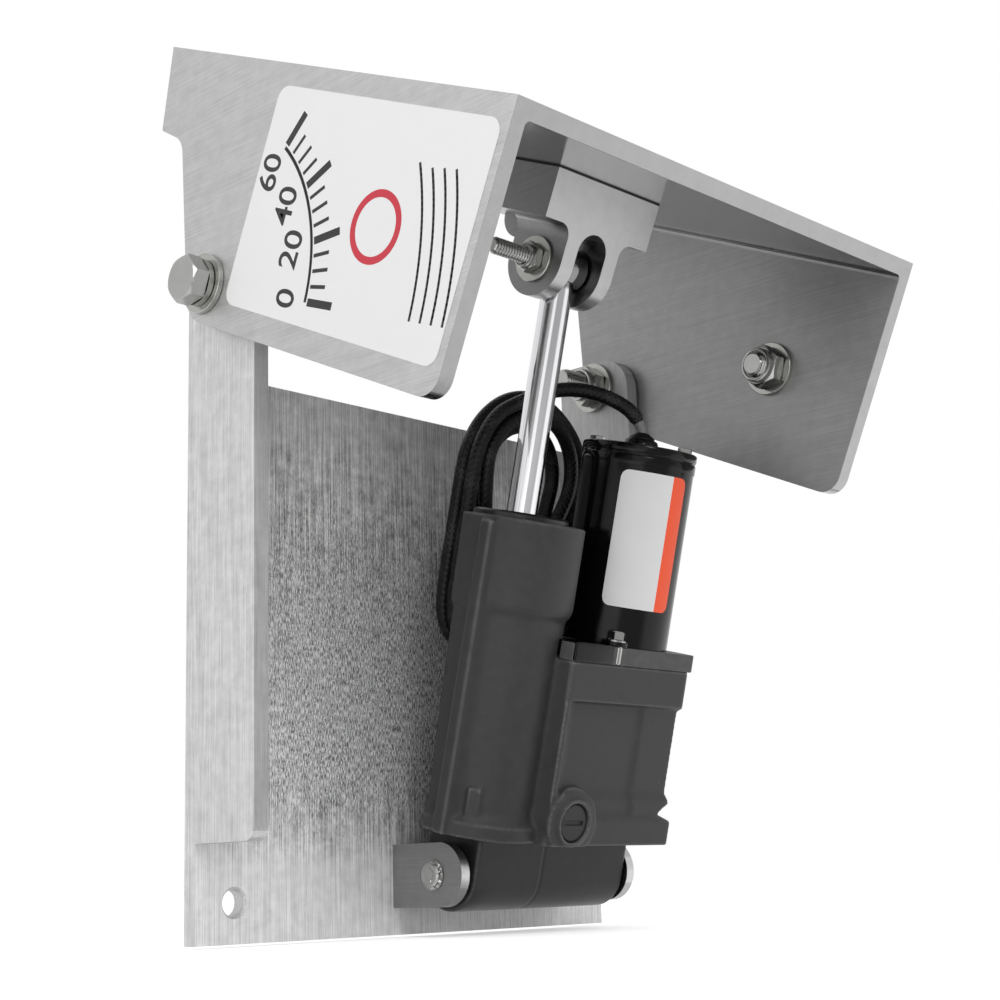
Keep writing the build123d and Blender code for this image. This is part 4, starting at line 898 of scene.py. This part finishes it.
for angle in (225, 45):
    place = motorFrame @ Matrix.Translation(polar(footBolt["radius"], math.radians(angle), footBolt["low"]))
    rim, thick = footBolt["collar"] / 2, footBolt["collarThick"]
    collar = turned([(0.01, 0), (rim, 0), (rim, thick / 2), (rim - 1, thick), (0.01, thick)], 48)
    footShapes += [(hexBody(footBolt["flats"], footBolt["head"]), place), (collar, place),
                   (roundPin(footBolt["shank"] / 2, -3, 0), place)]
build("motor_flange_bolts", footShapes, stainless, "cylinder", "stainless", ("motor_foot_bolts",), 28)
dowelPlace = ramFrame @ Matrix.Translation(Vector((52.5, -43.9, 132.2)) * mm)
dowel = turned([(0.01, 0), (1.9, 0), (2.2, 0.4), (2.2, 9.6), (1.7, 10.2), (0.01, 10.2)], 32)
build("foot_dowel", [(dowel, dowelPlace)], stainless, "cylinder", "stainless")
longBolt = {"radius": 27, "flats": 8, "head": 3.5, "shank": 4.9}
longBolts = []
for angle in (125, 305):
    place = motorFrame @ Matrix.Translation(polar(longBolt["radius"], math.radians(angle), motorCap["top"]))
    shank = roundPin(longBolt["shank"] / 2, -6, 0)
    longBolts += [(hexBody(longBolt["flats"], longBolt["head"]), place), (shank, place)]
build("motor_through_bolts", longBolts, stainless, "cylinder", "stainless", ("motor_long_bolts",), 28)
print("motor made")

# Label: bare white film with an orange edge, bent to the can
label = {"radius": 34.5, "thick": 0.3, "from": -154, "to": -80, "low": 165, "high": 246, "corner": 5, "orange": -99}
labelColumns = []
arc, orangeFrom = (math.radians(label[end] - label["from"]) * label["radius"] for end in ("to", "orange"))
corner = label["corner"]
steps = sorted({arc * share / 60 for share in range(61)} | {corner * share / 8 for share in range(9)}
               | {arc - corner * share / 8 for share in range(9)} | {orangeFrom})
for walked in steps:
    near = max(corner - walked, corner - (arc - walked), 0)
    inset = corner - math.sqrt(max(corner ** 2 - near ** 2, 0))
    angle = math.radians(label["from"]) + walked / label["radius"]
    low, high = label["low"] + inset, label["high"] - inset
    inner, outer = label["radius"] + 0.02, label["radius"] + label["thick"]
    section = ((inner, low), (inner, high), (outer, high), (outer, low))
    labelColumns.append([motorFrame @ polar(reach, angle, height) for reach, height in section])
labelMesh = meshOf("motor_film_label", *ringSkin(labelColumns))
for polygon in labelMesh.polygons:
    polygon.material_index = int(all(steps[vertex // 4] >= orangeFrom - 1e-6 for vertex in polygon.vertices))
show("motor_film_label", labelMesh, whiteVinyl, "cylinder", "label", ("motor_label",), 40)
labelMesh.materials.append(orangeVinyl)
print("label laid")

# Decal: white film with a plain tilt scale, whose arcs are centred on the hinge
decal = {"left": 5, "width": 176.5, "top": 12, "height": 120, "corner": 8, "thick": 0.3, "face": 172.0, "ink": 0.04}
# Its frame reads from the left: x up the plate's side, y back along the plate, z out to the left
decalFrame = axes(onPlate(-decal["face"], 0, 0), plateNormal, toLeft)


# A flat sheet of this outline, from one height to another above the plate
def flatSheet(outline, low, high):
    return ringSkin([[decalFrame @ (Vector((x, y, z)) * mm) for x, y in outline] for z in (low, high)])


def strip(start, end, width):
    (x, y), (u, v) = start, end
    length = math.hypot(u - x, v - y)
    dx, dy = -(v - y) / length * width / 2, (u - x) / length * width / 2
    return flatSheet([(x + dx, y + dy), (x - dx, y - dy), (u - dx, v - dy), (u + dx, v + dy)], inkLow, inkHigh)


def roundedOutline(low, left, high, right, corner):
    outline = []
    for x, y, start in ((high - corner, right - corner, 0), (low + corner, right - corner, 90),
                        (low + corner, left + corner, 180), (high - corner, left + corner, 270)):
        for step in range(9):
            angle = math.radians(start + step * 11.25)
            outline.append((x + corner * math.cos(angle), y + corner * math.sin(angle)))
    return outline


inkLow, inkHigh = decal["thick"] - 0.02, decal["thick"] + decal["ink"]
decalOutline = roundedOutline(-decal["top"] - decal["height"], decal["left"], -decal["top"],
                              decal["left"] + decal["width"], decal["corner"])
decalSheet = meshOf("side_film_decal", *flatSheet(decalOutline, 0.01, decal["thick"]))
show("side_film_decal", decalSheet, whiteVinyl, "tilt_bracket", "decal", ("side_decal",))

scale = {"centre": (-hingeDrop, hingeBack), "marks": 13, "first": 4.0, "spread": 5.0, "inner": 92, "short": 12,
         "long": 20, "figure": 21, "figureReach": 74, "line": 2.0, "bold": 4.2, "ring": (-74, 74), "ringInside": 15,
         "ringOutside": 19, "arcs": ((90, 2.0, 64), (172, 1.6, 30), (180, 1.6, 28), (188, 1.6, 27), (196, 1.6, 26))}


def scalePoint(reach, degrees):
    angle = math.radians(degrees)
    return scale["centre"][0] + reach * math.sin(angle), scale["centre"][1] - reach * math.cos(angle)


inkShapes = []
flat = Matrix.Identity(4)
for mark in range(scale["marks"]):
    degrees = scale["first"] + mark * scale["spread"]
    reach = scale["long"] if mark % 4 == 0 else scale["short"]
    width = scale["bold"] if mark % 4 == 0 else scale["line"]
    ends = scalePoint(scale["inner"], degrees), scalePoint(scale["inner"] + reach, degrees)
    inkShapes.append((strip(*ends, width), flat))
for reach, width, lastDegrees in scale["arcs"]:
    degrees = scale["first"]
    while degrees < lastDegrees - 0.01:
        inkShapes.append((strip(scalePoint(reach, degrees - 0.2), scalePoint(reach, degrees + 1.2), width), flat))
        degrees += 1
for mark in range(0, scale["marks"], 4):
    text = bpy.data.curves.new("figure", "FONT")
    text.body = str(mark * 5)
    text.size = scale["figure"] * mm
    text.align_x, text.align_y = "CENTER", "CENTER"
    text.extrude = decal["ink"] / 2 * mm
    text.offset = 0.2 * mm
    x, y = scalePoint(scale["figureReach"], scale["first"] + mark * scale["spread"])
    place = decalFrame @ Matrix.Translation(Vector((x, y, decal["thick"] + decal["ink"] / 2)) * mm)
    inkShapes.append((drawnShape(text), place))
build("tilt_scale_print", inkShapes, blackInk, "tilt_bracket", "decal")
ringIn, ringOut = scale["ringInside"], scale["ringOutside"]
ring = turned([(ringIn, inkLow), (ringOut, inkLow), (ringOut, inkHigh), (ringIn, inkHigh)], 64, loop=True)
ringPlace = decalFrame @ Matrix.Translation(Vector((*scale["ring"], 0)) * mm)
build("tilt_mark_print", [(ring, ringPlace)], redInk, "tilt_bracket", "decal")
print("decal printed")

# Light and floor: a white room, a little darker behind the camera's right, for the metals to reflect
studio = {"room": 0.8, "key": 9, "fill": 6, "floorLift": 0.45}
world = bpy.data.worlds.new("studio")
bpy.context.scene.world = world
world.use_nodes = True
sky = world.node_tree
ray = add(sky, "LightPath")
seen = add(sky, "Math", [ray.outputs["Is Camera Ray"], ray.outputs["Is Transmission Ray"]], "MAXIMUM")


# Grey bands round the object, by the direction from its middle
def bandsRound(tree, direction, stops):
    parts = add(tree, "SeparateXYZ", [direction])
    azimuth = add(tree, "Math", [parts.outputs["Y"], parts.outputs["X"]], "ARCTAN2")
    turn = add(tree, "MapRange", [azimuth, -math.pi, math.pi])
    return add(tree, "ValToRGB", [turn], stops=stops)


wallTones = ((0.0, 1.0), (0.045, 1.0), (0.06, 0.4), (0.08, 0.4), (0.095, 1.0), (0.16, 1.0), (0.19, 0.5), (0.31, 0.5),
             (0.35, 0.95))
walls = bandsRound(sky, add(sky, "TexCoord").outputs["Generated"], wallTones)
level = add(sky, "Mix", [ray.outputs["Is Glossy Ray"], studio["room"], 0.98])
room = add(sky, "VectorMath", [walls, level], "SCALE")
shown = add(sky, "Mix", [seen, room, (1, 1, 1, 1)], data_type="RGBA")
feed(sky.nodes["Background"], {"Color": shown})
bpy.context.scene.view_settings.view_transform = "Standard"


def softLight(name, place, aim, size, power):
    light = bpy.data.lights.new(name, "AREA")
    light.shape = "RECTANGLE"
    light.size, light.size_y = size
    light.energy = power
    put(name, light).matrix_world = axes(Vector(place), toRight, Vector(place) - Vector(aim))


softLight("key", (-0.6, -1.5, 1.2), (0, -0.1, 0.1), (0.35, 1.3), studio["key"])
softLight("left_fill", (-1.7, -0.3, 0.8), (0, -0.1, 0.1), (0.8, 1.2), studio["fill"])

floorTop = cadBox[0][2] - 0.0015
floorMesh = meshOf("floor", [(x, y, floorTop) for x, y in ((-6, -6), (6, -6), (6, 6), (-6, 6))], [(0, 1, 2, 3)])
floor = put("floor", floorMesh)
floorLook, floorTree, floorShader, floorSpot = material("pale_studio_floor")
floorRay = add(floorTree, "LightPath")
# In the metals the floor has grey bands to the right and the left, which give the rod its stripes
floorTones = ((0.0, 0.55), (0.05, 0.55), (0.07, 1.0), (0.15, 1.0), (0.17, 0.4), (0.29, 0.4), (0.32, 1.0), (0.9, 0.8))
floorBands = bandsRound(floorTree, floorSpot, floorTones)
floorTone = add(floorTree, "Mix", [floorRay.outputs["Is Glossy Ray"], (1, 1, 1, 1), floorBands], data_type="RGBA")
floorGlow = add(floorTree, "Math", [floorRay.outputs["Is Camera Ray"], floorRay.outputs["Is Glossy Ray"]], "MAXIMUM")
floorSeen = add(floorTree, "Math", [floorGlow, floorTone], "MULTIPLY")
floorLift = add(floorTree, "Math", [floorSeen, studio["floorLift"]], "MULTIPLY")
feed(floorShader, {"Base Color": floorTone, "Roughness": 0.9, "Specular IOR Level": 0.0, "Emission Color": "#ffffff",
                   "Emission Strength": floorLift})
floorMesh.materials.append(floorLook)
print("studio lit")
